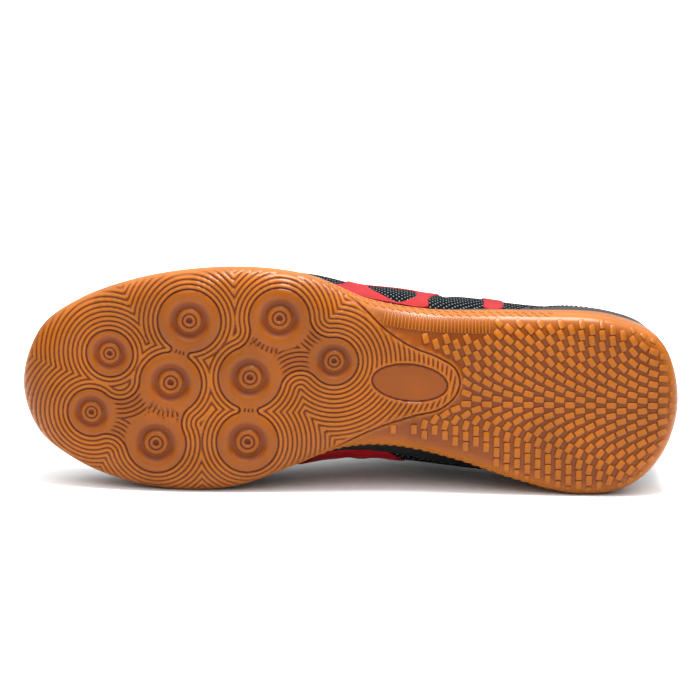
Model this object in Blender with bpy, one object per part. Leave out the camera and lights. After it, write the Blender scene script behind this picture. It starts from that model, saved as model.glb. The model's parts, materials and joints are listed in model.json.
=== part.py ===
"""Left indoor soccer shoe, lying on its medial side on a floor.

The shoe is modelled as it stands, in its own frame: x runs from the back of the heel
to the toe, y from the medial side to the lateral side and z up from the ground.  The
last step lays it on its medial side, with the toe towards -X and the sole facing -Y.
"""

import math
from collections import namedtuple

import bmesh
import bpy
import numpy as np
from mathutils import Matrix, Vector, geometry

MM = 0.001

# Driving sizes of the whole shoe
SOLE_LENGTH = 290 * MM
BALL_WIDTH = 99.5 * MM
INSTEP_HEIGHT = 104 * MM
COLLAR_BACK_HEIGHT = 92 * MM
TOE_BOX_HEIGHT = 49 * MM
TOE_SPRING = 14 * MM
ARCH_RISE = 1.5 * MM
HEEL_BEVEL = 2.0 * MM

# Outsole, a moulded cup: its walls, its floor and the thickness under the foot
CUP_WALL = 3.0 * MM
RIM_LEAN = 1.2 * MM
RIM_ROUND = 0.8 * MM
RIM_BAND = 5.0 * MM
RIM_BAND_STEP = 0.6 * MM
HEEL_STACK = 13.0 * MM
BALL_STACK = 8.0 * MM
HEEL_RIM_HEIGHT = 25.0 * MM
BALL_RIM_HEIGHT = 18.0 * MM
SPRING_START = 0.70
BEVEL_END = 0.07
ARCH_START = 0.28
ARCH_END = 0.54
EDGE_WIDTH = 11.0 * MM
EDGE_HEIGHT = 8.5 * MM

# Tread: a pod is a flat disc inside a groove, with a bowl round a small nub
POD_GROOVE_WIDTH = 1.2 * MM
POD_GROOVE_DEPTH = 1.0 * MM
POD_BOWL_RADIUS = 8.9 * MM
POD_BOWL_DEPTH = 1.7 * MM
POD_NUB_BASE_RADIUS = 5.6 * MM
POD_NUB_TOP_RADIUS = 3.9 * MM
POD_NUB_SINK = 0.3 * MM
POD_BOWL_WALL = 1.6 * MM
POD_BOWL_SHOULDER = 0.8
SMALL_POD_LIMIT = 0.9
SMALL_POD_SHARE = 0.84
BIG_POD_RADIUS = 13.7 * MM
PLATE_GROOVE_WIDTH = 1.4 * MM
PLATE_GROOVE_DEPTH = 1.1 * MM
PLATE_END_MARGIN = 4.5 * MM
PLATE_END_FADE = 3.0 * MM
TREAD_STEP = 11 * MM
OVAL_LENGTH = 33.2 * MM
OVAL_WIDTH = 16.4 * MM
OVAL_TILT = math.radians(-5)
OVAL_DEPTH = 0.6 * MM
OVAL_WALL = 0.5 * MM

# Upper and what goes in and on it
UPPER_WALL = 2.0 * MM
COLLAR_PAD = 4.5 * MM
CLEARANCE = 0.3 * MM
RIM_CLEARANCE = 0.5 * MM
INSOLE_THICKNESS = 4.0 * MM
TONGUE_THICKNESS = 4.0 * MM
TONGUE_GAP = 0.8 * MM
TONGUE_FLARE = 0.5
TONGUE_HALF_WIDTH = 24 * MM
TONGUE_RISE = 14 * MM
OVERLAY_THICKNESS = 0.9 * MM
OVERLAY_GAP = 0.55 * MM
COVER_FOOT = 0.03
TOE_CAP_END = 0.80
COUNTER_END = 0.24
EYESTAY_WIDTH = 13.5 * MM
EYESTAY_SETBACK = 0.8 * MM
THROAT_HALF_WIDTH = 14 * MM
EYELET_ROWS = 6
EYESTAY_TOP = 0.379
EYESTAY_END = 0.675
TOP_EYELET = 0.400
LOW_EYELET = 0.655
EYELET_RADIUS = 3.6 * MM
EYELET_HOLE_RADIUS = 2.0 * MM
EYELET_THICKNESS = 0.9 * MM
LACE_WIDTH = 5.6 * MM
LACE_THICKNESS = 1.6 * MM
LACE_LIFT = 3.4 * MM
LACE_STEP_OVER = 0.9 * MM
LACE_OVERRUN = 1.5 * MM
LACE_STEPS = 7

# The upper's sections fan out round the heel and the toe, and are square between
HEEL_FAN = 0.13
TOE_FAN = 0.86
RIDGE_START = 0.34
BULGE_UP = 0.35
FULLNESS = 0.60
THROAT_TOP = 0.375
THROAT_ROUND = 0.64
VAMP_POINT = 0.69

Point = namedtuple("Point", "along across")
OUTLINE = [
    Point(0.000, 0.430),
    Point(0.028, 0.690),
    Point(0.100, 0.793),
    Point(0.240, 0.813),
    Point(0.380, 0.816),
    Point(0.470, 0.860),
    Point(0.560, 0.965),
    Point(0.640, 1.000),
    Point(0.740, 0.990),
    Point(0.830, 0.937),
    Point(0.915, 0.837),
    Point(0.972, 0.705),
    Point(1.000, 0.455),
    Point(0.977, 0.245),
    Point(0.920, 0.118),
    Point(0.840, 0.033),
    Point(0.755, 0.000),
    Point(0.670, 0.020),
    Point(0.580, 0.117),
    Point(0.515, 0.193),
    Point(0.445, 0.206),
    Point(0.340, 0.148),
    Point(0.240, 0.058),
    Point(0.150, 0.000),
    Point(0.075, 0.038),
    Point(0.022, 0.185),
]

# Where the middle of each section lies in plan
SPINE = [
    Point(0.130, 0.405),
    Point(0.400, 0.470),
    Point(0.650, 0.455),
    Point(0.860, 0.465),
]

# Along the sole: rounded edge, floor and rim, as shares of their named sizes
SoleRow = namedtuple("SoleRow", "along edge_width edge_height stack rim")
SOLE_ROWS = [
    SoleRow(0.00, 0.80, 0.90, 1.00, 1.04),
    SoleRow(0.15, 0.80, 0.92, 1.00, 1.00),
    SoleRow(0.30, 1.20, 1.15, 0.60, 0.70),
    SoleRow(0.40, 1.50, 1.35, 0.40, 0.45),
    SoleRow(0.50, 1.25, 1.15, 0.20, 0.20),
    SoleRow(0.62, 1.00, 1.00, 0.05, 0.02),
    SoleRow(0.72, 1.00, 1.00, 0.00, 0.00),
    SoleRow(0.86, 1.05, 1.02, 0.00, 0.08),
    SoleRow(1.00, 1.10, 1.05, 0.00, 0.20),
]

# Along the upper: bulges outside the rim as shares of the ball width, heights as shares
# of the instep height, the top's place as a share of the way in to the spine, the slope
# that the wall has at its top, and the height of the collar's edge
UpperRow = namedtuple(
    "UpperRow",
    "along bulge_medial bulge_lateral bulge_height top_in top_height lean collar",
)
UPPER_ROWS = [
    UpperRow(0.00, 0.010, 0.010, 0.47, 0.15, 0.885, 88, 0.885),
    UpperRow(0.07, 0.010, -0.010, 0.46, 0.18, 0.850, 84, 0.850),
    UpperRow(0.13, 0.010, -0.016, 0.44, 0.21, 0.775, 82, 0.775),
    UpperRow(0.20, 0.018, 0.000, 0.42, 0.24, 0.715, 82, 0.715),
    UpperRow(0.26, 0.068, 0.017, 0.40, 0.31, 0.745, 78, 0.722),
    UpperRow(0.30, 0.104, 0.029, 0.395, 0.62, 0.930, 45, 0.790),
    UpperRow(0.34, 0.124, 0.033, 0.39, 1.00, 1.110, 14, 0.890),
    UpperRow(0.38, 0.138, 0.038, 0.39, 1.00, 1.070, 8, 0.985),
    UpperRow(0.43, 0.148, 0.048, 0.39, 1.00, 1.000, 3, 1.000),
    UpperRow(0.50, 0.140, 0.024, 0.37, 1.00, 0.850, 0, 1.000),
    UpperRow(0.57, 0.090, -0.008, 0.35, 1.00, 0.728, 0, 1.000),
    UpperRow(0.64, 0.028, -0.012, 0.32, 1.00, 0.640, 0, 1.000),
    UpperRow(0.71, 0.010, -0.014, 0.30, 1.00, 0.575, 0, 1.000),
    UpperRow(0.79, 0.004, -0.012, 0.29, 1.00, 0.515, 0, 1.000),
    UpperRow(0.86, 0.000, -0.010, 0.30, 1.00, 0.471, 0, 1.000),
    UpperRow(0.93, 0.000, -0.006, 0.33, 1.00, 0.471, 0, 1.000),
    UpperRow(1.00, 0.000, 0.000, 0.36, 1.00, 0.471, 0, 1.000),
]

# Pods, by place in plan and radius as a share of the big pod's
Pod = namedtuple("Pod", "along across radius")
PODS = [
    Pod(0.864, 0.615, 0.76),
    Pod(0.892, 0.347, 0.78),
    Pod(0.743, 0.770, 1.02),
    Pod(0.771, 0.492, 1.00),
    Pod(0.793, 0.220, 0.97),
    Pod(0.607, 0.786, 0.98),
    Pod(0.651, 0.520, 1.02),
    Pod(0.654, 0.231, 1.00),
    Pod(0.524, 0.598, 0.78),
]

OVAL_CENTRE = Point(0.409, 0.503)
PLATE_EDGE = [
    Point(0.500, 0.880),
    Point(0.476, 0.819),
    Point(0.447, 0.739),
    Point(0.405, 0.661),
    Point(0.364, 0.615),
    Point(0.340, 0.568),
    Point(0.333, 0.506),
    Point(0.340, 0.446),
    Point(0.359, 0.393),
    Point(0.405, 0.352),
    Point(0.460, 0.295),
    Point(0.513, 0.215),
]


def smooth(knots, values, at):
    """Reads a table between its rows, along a cubic that passes through each row."""
    knots, values, at = (np.asarray(a, float) for a in (knots, values, at))
    gap = np.diff(knots)
    rise = (np.diff(values, axis=0).T / gap).T
    slope = np.empty_like(values)
    slope[0], slope[-1] = rise[0], rise[-1]
    share = (gap[:-1] / (gap[:-1] + gap[1:])).reshape((-1,) + (1,) * (values.ndim - 1))
    slope[1:-1] = rise[:-1] * (1 - share) + rise[1:] * share
    i = np.clip(np.searchsorted(knots, at, side="right") - 1, 0, len(gap) - 1)
    t = np.clip((at - knots[i]) / gap[i], 0, 1)
    g = gap[i]
    if values.ndim > 1:
        t, g = t[..., None], g[..., None]
    start, end = values[i], values[i + 1]
    return (
        start * (1 + 2 * t) * (1 - t) ** 2
        + end * t * t * (3 - 2 * t)
        + slope[i] * g * t * (1 - t) ** 2
        - slope[i + 1] * g * t * t * (1 - t)
    )


def column(rows, name, along):
    """One named column of a table, read at each share of the length."""
    knots = [row.along for row in rows]
    return smooth(knots, [getattr(row, name) for row in rows], along)


def in_plan(points):
    """Plan positions of a list of points given as shares of length and ball width."""
    return np.array([(p.along * SOLE_LENGTH, p.across * BALL_WIDTH) for p in points])


def closed_curve(points, steps):
    """An even walk of so many steps round a smooth closed curve through the points."""
    looped = np.vstack([points[-3:], points, points[:3]])
    reach = np.sqrt(np.linalg.norm(np.diff(looped, axis=0), axis=1))
    knots = np.concatenate([[0], np.cumsum(reach)])
    fine = smooth(knots, looped, np.linspace(knots[3], knots[-3], 8 * steps + 1))
    walked = np.concatenate(
        [[0], np.cumsum(np.linalg.norm(np.diff(fine, axis=0), axis=1))]
    )
    at = np.linspace(0, walked[-1], steps, endpoint=False)
    return np.stack([np.interp(at, walked, fine[:, k]) for k in (0, 1)], axis=1)


def open_curve(points, steps):
    """A smooth open curve through the points."""
    knots = np.concatenate(
        [[0], np.cumsum(np.linalg.norm(np.diff(points, axis=0), axis=1))]
    )
    return smooth(knots, points, np.linspace(0, knots[-1], steps))


def inward_normals(loop):
    """Unit normals of a closed plan line, pointing to its inside."""
    tangent = np.roll(loop, -1, axis=0) - np.roll(loop, 1, axis=0)
    tangent /= np.linalg.norm(tangent, axis=1)[:, None]
    normal = np.stack([-tangent[:, 1], tangent[:, 0]], axis=1)
    x, y = loop[:, 0], loop[:, 1]
    turns = np.sum(x * np.roll(y, -1) - np.roll(x, -1) * y)
    return normal if turns > 0 else -normal


def distance_to(line, points, closed):
    """Shortest plan distance from each point to a line of short pieces."""
    ends = np.roll(line, -1, axis=0) if closed else line[1:]
    starts = line if closed else line[:-1]
    along = ends - starts
    to = points[:, None, :] - starts[None]
    share = np.clip((to * along).sum(2) / (along * along).sum(1), 0, 1)
    return np.linalg.norm(to - share[..., None] * along, axis=2).min(axis=1)


def spine_at(along):
    """Plan position of the spine, which stays between the two fans' centres."""
    held = np.clip(along, HEEL_FAN, TOE_FAN)
    across = column(SPINE, "across", held)
    return np.stack([held * SOLE_LENGTH, across * BALL_WIDTH], axis=-1)


def ray_at(around):
    """Unit plan direction of the section plane, from the spine outwards.

    around is 0 at the back of the heel, 1 or -1 at the tip of the toe, above 0 on
    the lateral side and below 0 on the medial side.
    """
    along, side = np.abs(around), np.where(around < 0, -1.0, 1.0)
    heel = np.clip(along / HEEL_FAN, 0, 1) * math.pi / 2
    toe = np.clip((along - TOE_FAN) / (1 - TOE_FAN), 0, 1) * math.pi / 2
    return np.stack([np.sin(toe) - np.cos(heel), side * np.sin(heel) * np.cos(toe)], -1)


class Ring:
    """A closed plan line, read as its distance from the spine along each ray."""

    READ_AT = np.linspace(-1, 1, 721)

    def __init__(self, line):
        self.line = line
        origin, ray = spine_at(np.abs(self.READ_AT)), ray_at(self.READ_AT)
        start, piece = line[None], (np.roll(line, -1, axis=0) - line)[None]
        to = start - origin[:, None]
        cross = ray[:, None, 0] * piece[..., 1] - ray[:, None, 1] * piece[..., 0]
        cross = np.where(np.abs(cross) < 1e-15, 1e-15, cross)
        far = (to[..., 0] * piece[..., 1] - to[..., 1] * piece[..., 0]) / cross
        share = (to[..., 0] * ray[:, None, 1] - to[..., 1] * ray[:, None, 0]) / cross
        hit = (share >= -1e-9) & (share <= 1 + 1e-9) & (far > 0)
        self.reaches = np.where(hit, far, np.inf).min(axis=1)

    def reach(self, around):
        return np.interp(around, self.READ_AT, self.reaches)

    def inset(self, width):
        return Ring(self.line + inward_normals(self.line) * width)


SOLE_RING = Ring(closed_curve(in_plan(OUTLINE), 420))
CUP_RING = SOLE_RING.inset(CUP_WALL)
UPPER_RING = CUP_RING.inset(CLEARANCE)
INSOLE_RING = UPPER_RING.inset(UPPER_WALL + CLEARANCE)


def section_stations():
    """Shares of the length at which the sections stand, closest at the vamp point."""
    heel = np.linspace(0, HEEL_FAN, 8)
    collar = np.linspace(HEEL_FAN, THROAT_TOP - 0.01, 9)[1:]
    throat = np.linspace(THROAT_TOP, THROAT_ROUND, 10)
    round_end = THROAT_ROUND + (VAMP_POINT - THROAT_ROUND) * np.array([0.45, 0.8, 1.0])
    vamp = np.linspace(VAMP_POINT, TOE_FAN, 6)[1:]
    toe = np.linspace(TOE_FAN, 1, 9)[1:]
    return np.concatenate([heel, collar, throat, round_end, vamp, toe])


STATIONS = section_stations()
AROUND = np.concatenate([STATIONS, -STATIONS[-2:0:-1]])


def toe_lift(along):
    """How far the toe spring lifts the sole off the ground."""
    share = np.clip((along - SPRING_START) / (1 - SPRING_START), 0, 1)
    return TOE_SPRING * share**2


def arch_lift(along):
    """The low rise of the sole under the waist."""
    share = np.clip((along - ARCH_START) / (ARCH_END - ARCH_START), 0, 1)
    return ARCH_RISE * np.sin(math.pi * share) ** 2


def ground_lift(along):
    """Height of the sole's underside over the ground it stands on."""
    back = np.clip(1 - along / BEVEL_END, 0, 1)
    return toe_lift(along) + arch_lift(along) + HEEL_BEVEL * back**2


def floor_height(along):
    """Height of the cup's floor, on which the insole and the upper's edge stand."""
    stack = column(SOLE_ROWS, "stack", along)
    return ground_lift(along) + BALL_STACK + (HEEL_STACK - BALL_STACK) * stack


def rim_height(along):
    share = column(SOLE_ROWS, "rim", along)
    return toe_lift(along) + BALL_RIM_HEIGHT + (HEEL_RIM_HEIGHT - BALL_RIM_HEIGHT) * share


def edge_height(along):
    return EDGE_HEIGHT * column(SOLE_ROWS, "edge_height", along)


def edge_width(along):
    return EDGE_WIDTH * column(SOLE_ROWS, "edge_width", along)


def at_ring(ring, around, rule, inset=0.0):
    """Points where each ray meets a ring; rule gives the height by share of length."""
    along = np.abs(around)
    plan = spine_at(along) + ray_at(around) * (ring.reach(around) - inset)[..., None]
    height = rule(plan[..., 0] / SOLE_LENGTH)
    return np.concatenate([plan, height[..., None]], axis=-1)


def mesh_object(name, vertices, faces, material, smooth_angle=40):
    """A closed mesh object from points and faces, its normals turned outwards."""
    mesh = bpy.data.meshes.new(name)
    shape = bmesh.new()
    corners = [shape.verts.new(p) for p in np.asarray(vertices, float)]
    for face in faces:
        loop = list(dict.fromkeys(face))
        if len(loop) > 2:
            shape.faces.new([corners[i] for i in loop])
    bmesh.ops.remove_doubles(shape, verts=shape.verts, dist=0.01 * MM)
    bmesh.ops.dissolve_degenerate(shape, edges=shape.edges, dist=0.001 * MM)
    bmesh.ops.triangulate(shape, faces=shape.faces)
    bmesh.ops.recalc_face_normals(shape, faces=shape.faces)
    if shape.calc_volume(signed=True) < 0:
        bmesh.ops.reverse_faces(shape, faces=shape.faces)
    shape.to_mesh(mesh)
    shape.free()
    mesh.shade_smooth()
    mesh.set_sharp_from_angle(angle=math.radians(smooth_angle))
    mesh.materials.append(material)
    made = bpy.data.objects.new(name, mesh)
    bpy.context.scene.collection.objects.link(made)
    return made


def grid_faces(rows, columns, first=0, closed=False):
    """Four-cornered faces of a grid whose points are stored row by row."""
    wrap = columns if closed else columns - 1
    return [
        (
            first + r * columns + c,
            first + r * columns + (c + 1) % columns,
            first + (r + 1) * columns + (c + 1) % columns,
            first + (r + 1) * columns + c,
        )
        for r in range(rows - 1)
        for c in range(wrap)
    ]


def shell(outer, inner):
    """Points and faces of a closed sheet between two grids of the same size."""
    rows, columns = outer.shape[:2]
    size = rows * columns
    points = np.vstack([outer.reshape(-1, 3), inner.reshape(-1, 3)])
    faces = grid_faces(rows, columns) + grid_faces(rows, columns, size)
    border = list(range(columns))
    border += [r * columns + columns - 1 for r in range(1, rows)]
    border += [(rows - 1) * columns + c for c in range(columns - 2, -1, -1)]
    border += [r * columns for r in range(rows - 2, 0, -1)]
    for a, b in zip(border, border[1:] + border[:1]):
        faces.append((a, b, b + size, a + size))
    return points, faces


def pod_relief(distance, pod):
    """Depth of a pod's surface below its disc, by distance from its centre."""
    depths = [POD_NUB_SINK, POD_BOWL_DEPTH, POD_BOWL_DEPTH * POD_BOWL_SHOULDER, 0, 0]
    depths += [POD_GROOVE_DEPTH, 0]
    return np.interp(distance, pod_radii(pod), depths, right=0)


def pod_radii(pod):
    """Radii of a pod's creases: nub top, nub base, bowl floor, bowl edge, groove."""
    radius = pod.radius * BIG_POD_RADIUS
    share = SMALL_POD_SHARE if pod.radius < SMALL_POD_LIMIT else 1.0
    half = POD_GROOVE_WIDTH / 2
    bowl = share * POD_BOWL_RADIUS
    return [
        share * POD_NUB_TOP_RADIUS,
        share * POD_NUB_BASE_RADIUS,
        bowl - POD_BOWL_WALL,
        bowl,
        radius - half,
        radius,
        radius + half,
    ]


def oval_reach(points, inset):
    """How far out each point lies in the blank oval: 1 on its edge less an inset."""
    away = points - in_plan([OVAL_CENTRE])[0]
    turn, lean = math.cos(OVAL_TILT), math.sin(OVAL_TILT)
    long = (away[:, 0] * turn - away[:, 1] * lean) / (OVAL_LENGTH / 2 - inset)
    short = (away[:, 0] * lean + away[:, 1] * turn) / (OVAL_WIDTH / 2 - inset)
    return np.hypot(long, short)


def oval_loop(inset, steps):
    angle = np.linspace(0, 2 * math.pi, steps, endpoint=False)
    long = np.cos(angle) * (OVAL_LENGTH / 2 - inset)
    short = np.sin(angle) * (OVAL_WIDTH / 2 - inset)
    turn, lean = math.cos(OVAL_TILT), math.sin(OVAL_TILT)
    away = np.stack([long * turn + short * lean, short * turn - long * lean], axis=1)
    return in_plan([OVAL_CENTRE])[0] + away


def plate_line():
    """The groove that ends the forefoot plate, from side to side round its tongue."""
    line = open_curve(in_plan(PLATE_EDGE), 60)
    inside = distance_to(SOLE_RING.line, line, True) > PLATE_END_MARGIN
    return line[inside]


def tread_height(points):
    """Height of the sole's underside over each plan point, grooves and bowls cut in."""
    along = points[:, 0] / SOLE_LENGTH
    inside = np.clip(distance_to(SOLE_RING.line, points, True) / edge_width(along), 0, 1)
    rise = edge_height(along) * (1 - np.sqrt(np.clip(1 - (1 - inside) ** 2, 0, 1)))
    depth = np.zeros(len(points))
    for pod in PODS:
        away = np.linalg.norm(points - in_plan([pod])[0], axis=1)
        depth = np.maximum(depth, pod_relief(away, pod))
    off = distance_to(plate_line(), points, False) / (PLATE_GROOVE_WIDTH / 2)
    from_edge = distance_to(SOLE_RING.line, points, True) - PLATE_END_MARGIN
    faded = np.clip(from_edge / PLATE_END_FADE, 0, 1)
    depth = np.maximum(depth, PLATE_GROOVE_DEPTH * np.clip(1 - off, 0, 1) * faded)
    in_oval = oval_reach(points, OVAL_WALL) < 1.001
    depth = np.where(in_oval, OVAL_DEPTH, depth)
    return ground_lift(along) + rise + depth


def side_lines(line, width):
    """The lines that run beside an open plan line, a width away on each side."""
    tangent = np.gradient(line, axis=0)
    tangent /= np.linalg.norm(tangent, axis=1)[:, None]
    normal = np.stack([-tangent[:, 1], tangent[:, 0]], axis=1)
    return [line + normal * width, line - normal * width]


def triangulated(loops, lines, loose, bounded):
    """Plan points and triangles that keep each loop and line, inside the first loop."""
    points, edges = [], []
    for line in [*loops, *lines]:
        first, count = len(points), len(line)
        points += [tuple(p) for p in line]
        edges += [(first + i, first + i + 1) for i in range(count - 1)]
        if any(line is loop for loop in loops):
            edges.append((first + count - 1, first))
    points += [tuple(p) for p in loose]
    face = [list(range(bounded))]
    flat, _, faces, *_ = geometry.delaunay_2d_cdt(
        [Vector(p) for p in points], edges, face, 1, 0.01 * MM
    )
    return np.array([tuple(p) for p in flat]), [tuple(f) for f in faces]


def tread_plan(outer):
    """Plan points and triangles of the underside, with each pod's creases as loops."""
    loops = [outer]
    angle = np.linspace(0, 2 * math.pi, 15, endpoint=False)
    turn = np.stack([np.cos(angle), np.sin(angle)], axis=1)
    for pod in PODS:
        centre = in_plan([pod])[0]
        loops += [centre + turn * radius for radius in pod_radii(pod)]
    loops += [oval_loop(0.0, 28), oval_loop(OVAL_WALL, 28)]
    line = plate_line()[::2]
    lines = [line, *side_lines(line, PLATE_GROOVE_WIDTH / 2)]
    normals = inward_normals(outer)
    width = edge_width(outer[:, 0] / SOLE_LENGTH)[:, None]
    loose = [outer + normals * width * share for share in (0.134, 0.5, 1.0)]
    xs = np.arange(TREAD_STEP / 2, SOLE_LENGTH, TREAD_STEP)
    ys = np.arange(TREAD_STEP / 2, BALL_WIDTH, TREAD_STEP)
    grid = np.array([(x, y) for x in xs for y in ys])
    grid = grid[np.array([inside_loop(outer, p) for p in grid])]
    width = edge_width(grid[:, 0] / SOLE_LENGTH)
    grid = grid[distance_to(outer, grid, True) > 1.25 * width]
    loose = np.vstack([*loose, grid])
    centres = in_plan(PODS)
    clear = np.ones(len(loose), bool)
    for pod, centre in zip(PODS, centres):
        away = np.linalg.norm(loose - centre, axis=1)
        clear &= away > pod.radius * BIG_POD_RADIUS + 2 * MM
    clear &= distance_to(line, loose, False) > 2 * PLATE_GROOVE_WIDTH
    clear &= oval_reach(loose, 0.0) > 1.15
    return triangulated(loops, lines, loose[clear], len(outer))


def inside_loop(loop, point):
    """Whether a plan point lies inside a closed line."""
    a, b = loop, np.roll(loop, -1, axis=0)
    crosses = (a[:, 1] > point[1]) != (b[:, 1] > point[1])
    share = (point[1] - a[:, 1]) / np.where(crosses, b[:, 1] - a[:, 1], 1)
    return bool(np.sum(crosses & (point[0] < a[:, 0] + share * (b[:, 0] - a[:, 0]))) % 2)


def edge_top(along):
    """Height at which the sole's rounded edge turns into its wall."""
    return ground_lift(along) + edge_height(along)


def outsole(material):
    """The moulded rubber cup: tread, rounded edge, wall with its rim band, and floor."""

    def band(along):
        return rim_height(along) - RIM_BAND

    wall = [
        (SOLE_RING, 0.0, edge_top),
        (SOLE_RING, RIM_LEAN * 0.2, lambda along: (edge_top(along) + band(along)) / 2),
        (SOLE_RING, RIM_LEAN * 0.4, band),
        (SOLE_RING, RIM_LEAN * 0.4 + RIM_BAND_STEP, lambda a: band(a) + RIM_BAND_STEP),
        (SOLE_RING, RIM_LEAN + RIM_BAND_STEP / 2, lambda a: rim_height(a) - RIM_ROUND),
        (SOLE_RING, RIM_LEAN + RIM_ROUND, rim_height),
        (CUP_RING, 0.0, rim_height),
        (CUP_RING, 0.0, floor_height),
    ]
    rings = np.array([at_ring(ring, AROUND, rule, inset) for ring, inset, rule in wall])
    count = len(AROUND)
    points = [rings.reshape(-1, 3)]
    faces = grid_faces(len(rings), count, closed=True)
    flat, triangles = tread_plan(rings[0][:, :2])
    height = tread_height(flat)
    height[:count] = rings[0][:, 2]
    first = len(points[0])
    points.append(np.column_stack([flat, height]))
    faces += [tuple(first + i for i in t) for t in triangles]
    reach = CUP_RING.reach(AROUND)
    inner = [rings[-1]]
    inner += [at_ring(CUP_RING, AROUND, floor_height, reach * s) for s in (0.5, 1.0)]
    first += len(flat)
    points.append(np.array(inner).reshape(-1, 3))
    faces += grid_faces(len(inner), count, first, closed=True)
    return mesh_object("outsole", np.vstack(points), faces, material, 30)


def insole(material):
    """A flat footbed that lies on the cup's floor, inside the upper's edge."""
    reach = INSOLE_RING.reach(AROUND)
    rings = []
    for lift, shares in (
        (CLEARANCE, (1.0, 0.5, 0.0)),
        (CLEARANCE + INSOLE_THICKNESS, (0.0, 1.0)),
    ):
        for share in shares:
            ring = at_ring(INSOLE_RING, AROUND, floor_height, reach * share)
            rings.append(ring + (0, 0, lift))
    faces = grid_faces(len(rings), len(AROUND), closed=True)
    return mesh_object("insole", np.array(rings).reshape(-1, 3), faces, material)


def bezier(a, b, c, d, t):
    return a * (1 - t) ** 3 + 3 * b * (1 - t) ** 2 * t + 3 * c * (1 - t) * t * t + d * t**3


def height_scale(along):
    """Height that the upper's height shares stand for, from the heel to the toe."""
    share = np.clip(along / HEEL_FAN, 0, 1)
    back = COLLAR_BACK_HEIGHT / UPPER_ROWS[0].top_height
    front = np.clip((along - THROAT_ROUND) / (TOE_FAN - THROAT_ROUND), 0, 1)
    toe = TOE_BOX_HEIGHT / UPPER_ROWS[-1].top_height
    return (back * (1 - share) + INSTEP_HEIGHT * share) * (1 - front) + toe * front


def upper_surface(around, up):
    """Outer face of the closed last shape: up runs from 0 at the rim to 1 at its top.

    Each section rises from the rim to its widest point and then turns in to its top.
    """
    around, up = np.broadcast_arrays(np.asarray(around, float), np.asarray(up, float))
    along = np.abs(around)
    reach = UPPER_RING.reach(around)
    medial = column(UPPER_ROWS, "bulge_medial", along)
    lateral = column(UPPER_ROWS, "bulge_lateral", along)
    bulge = BALL_WIDTH * np.where(around < 0, medial, lateral)
    wide = INSTEP_HEIGHT * column(UPPER_ROWS, "bulge_height", along)
    top = height_scale(along) * column(UPPER_ROWS, "top_height", along)
    inner = reach * np.clip(column(UPPER_ROWS, "top_in", along), 0, 1)
    inner = np.where(along >= RIDGE_START, reach, inner)
    lean = np.radians(np.clip(column(UPPER_ROWS, "lean", along), 0, 90))
    foot = spine_at(along)[..., 0] + ray_at(around)[..., 0] * reach
    start = rim_height(foot / SOLE_LENGTH) + RIM_CLEARANCE
    low = np.clip(up / BULGE_UP, 0, 1)
    inward = bezier(0, -0.6 * bulge, -bulge, -bulge, low)
    climb = wide - start
    height = bezier(start, start + 0.2 * climb, wide - 0.5 * climb, wide, low)
    high = np.clip((up - BULGE_UP) / (1 - BULGE_UP), 0, 1)
    across, climb = inner + bulge, top - wide
    above = up > BULGE_UP
    turned_in = bezier(
        -bulge, -bulge, inner - FULLNESS * across * np.cos(lean), inner, high
    )
    climbed = bezier(
        wide,
        wide + FULLNESS * climb,
        top - FULLNESS * climb * np.sin(lean),
        top,
        high,
    )
    inward = np.where(above, turned_in, inward)
    height = np.where(above, climbed, height)
    plan = spine_at(along) + ray_at(around) * (reach - inward)[..., None]
    return np.concatenate([plan, height[..., None]], axis=-1)


def upper_normal(around, up):
    """Unit normal of the last shape, pointing out of the shoe."""
    around, up = np.broadcast_arrays(np.asarray(around, float), np.asarray(up, float))
    step = 2e-3
    near_pole = (np.abs(around) > TOE_FAN - 0.01) & (up > 0.93)
    up = np.where(near_pole, 0.93, up)
    left, right = np.clip(around - step, -1, 1), np.clip(around + step, -1, 1)
    low, high = np.clip(up - step, 0, 1), np.clip(up + step, 0, 1)
    sideways = upper_surface(right, up) - upper_surface(left, up)
    upwards = upper_surface(around, high) - upper_surface(around, low)
    normal = np.cross(upwards, sideways)
    normal /= np.linalg.norm(normal, axis=-1)[..., None]
    normal[near_pole] = (0, 0, 1)
    on_ridge = (up > 0.999) & (np.abs(around) >= RIDGE_START)
    normal[on_ridge, 1] = 0
    normal /= np.linalg.norm(normal, axis=-1)[..., None]
    return normal


def throat_half_width(along):
    """Half the gap between the throat's edges, rounded to nothing at the vamp point."""
    taper = np.interp(along, [THROAT_TOP, THROAT_ROUND], [1.1, 0.8])
    end = np.clip((along - THROAT_ROUND) / (VAMP_POINT - THROAT_ROUND), 0, 1)
    return THROAT_HALF_WIDTH * taper * np.sqrt(1 - end**2)


def up_at_distance(around, distance):
    """How far up each section lies at a distance from the spine."""
    tries = np.linspace(BULGE_UP, 1, 160)
    surface = upper_surface(around[:, None], tries[None])
    away = np.linalg.norm(surface[..., :2] - spine_at(np.abs(around))[:, None], axis=2)
    return np.array([np.interp(-d, -row, tries) for d, row in zip(distance, away)])


def up_below(around, high, length):
    """How far up each section lies at a length down its surface from a place on it."""
    found = []
    for a, top, drop in zip(around, high, np.broadcast_to(length, high.shape)):
        tries = np.linspace(top, BULGE_UP / 2, 120)
        steps = np.linalg.norm(np.diff(upper_surface(a, tries), axis=0), axis=1)
        found.append(float(np.interp(drop, np.cumsum(steps), tries[1:])))
    return np.array(found)


def up_at_height(around, height):
    """How far up each section lies at a height."""
    tries = np.linspace(BULGE_UP, 1, 160)
    heights = upper_surface(around[:, None], tries[None])[..., 2]
    return np.array([np.interp(z, row, tries) for z, row in zip(height, heights)])


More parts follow.
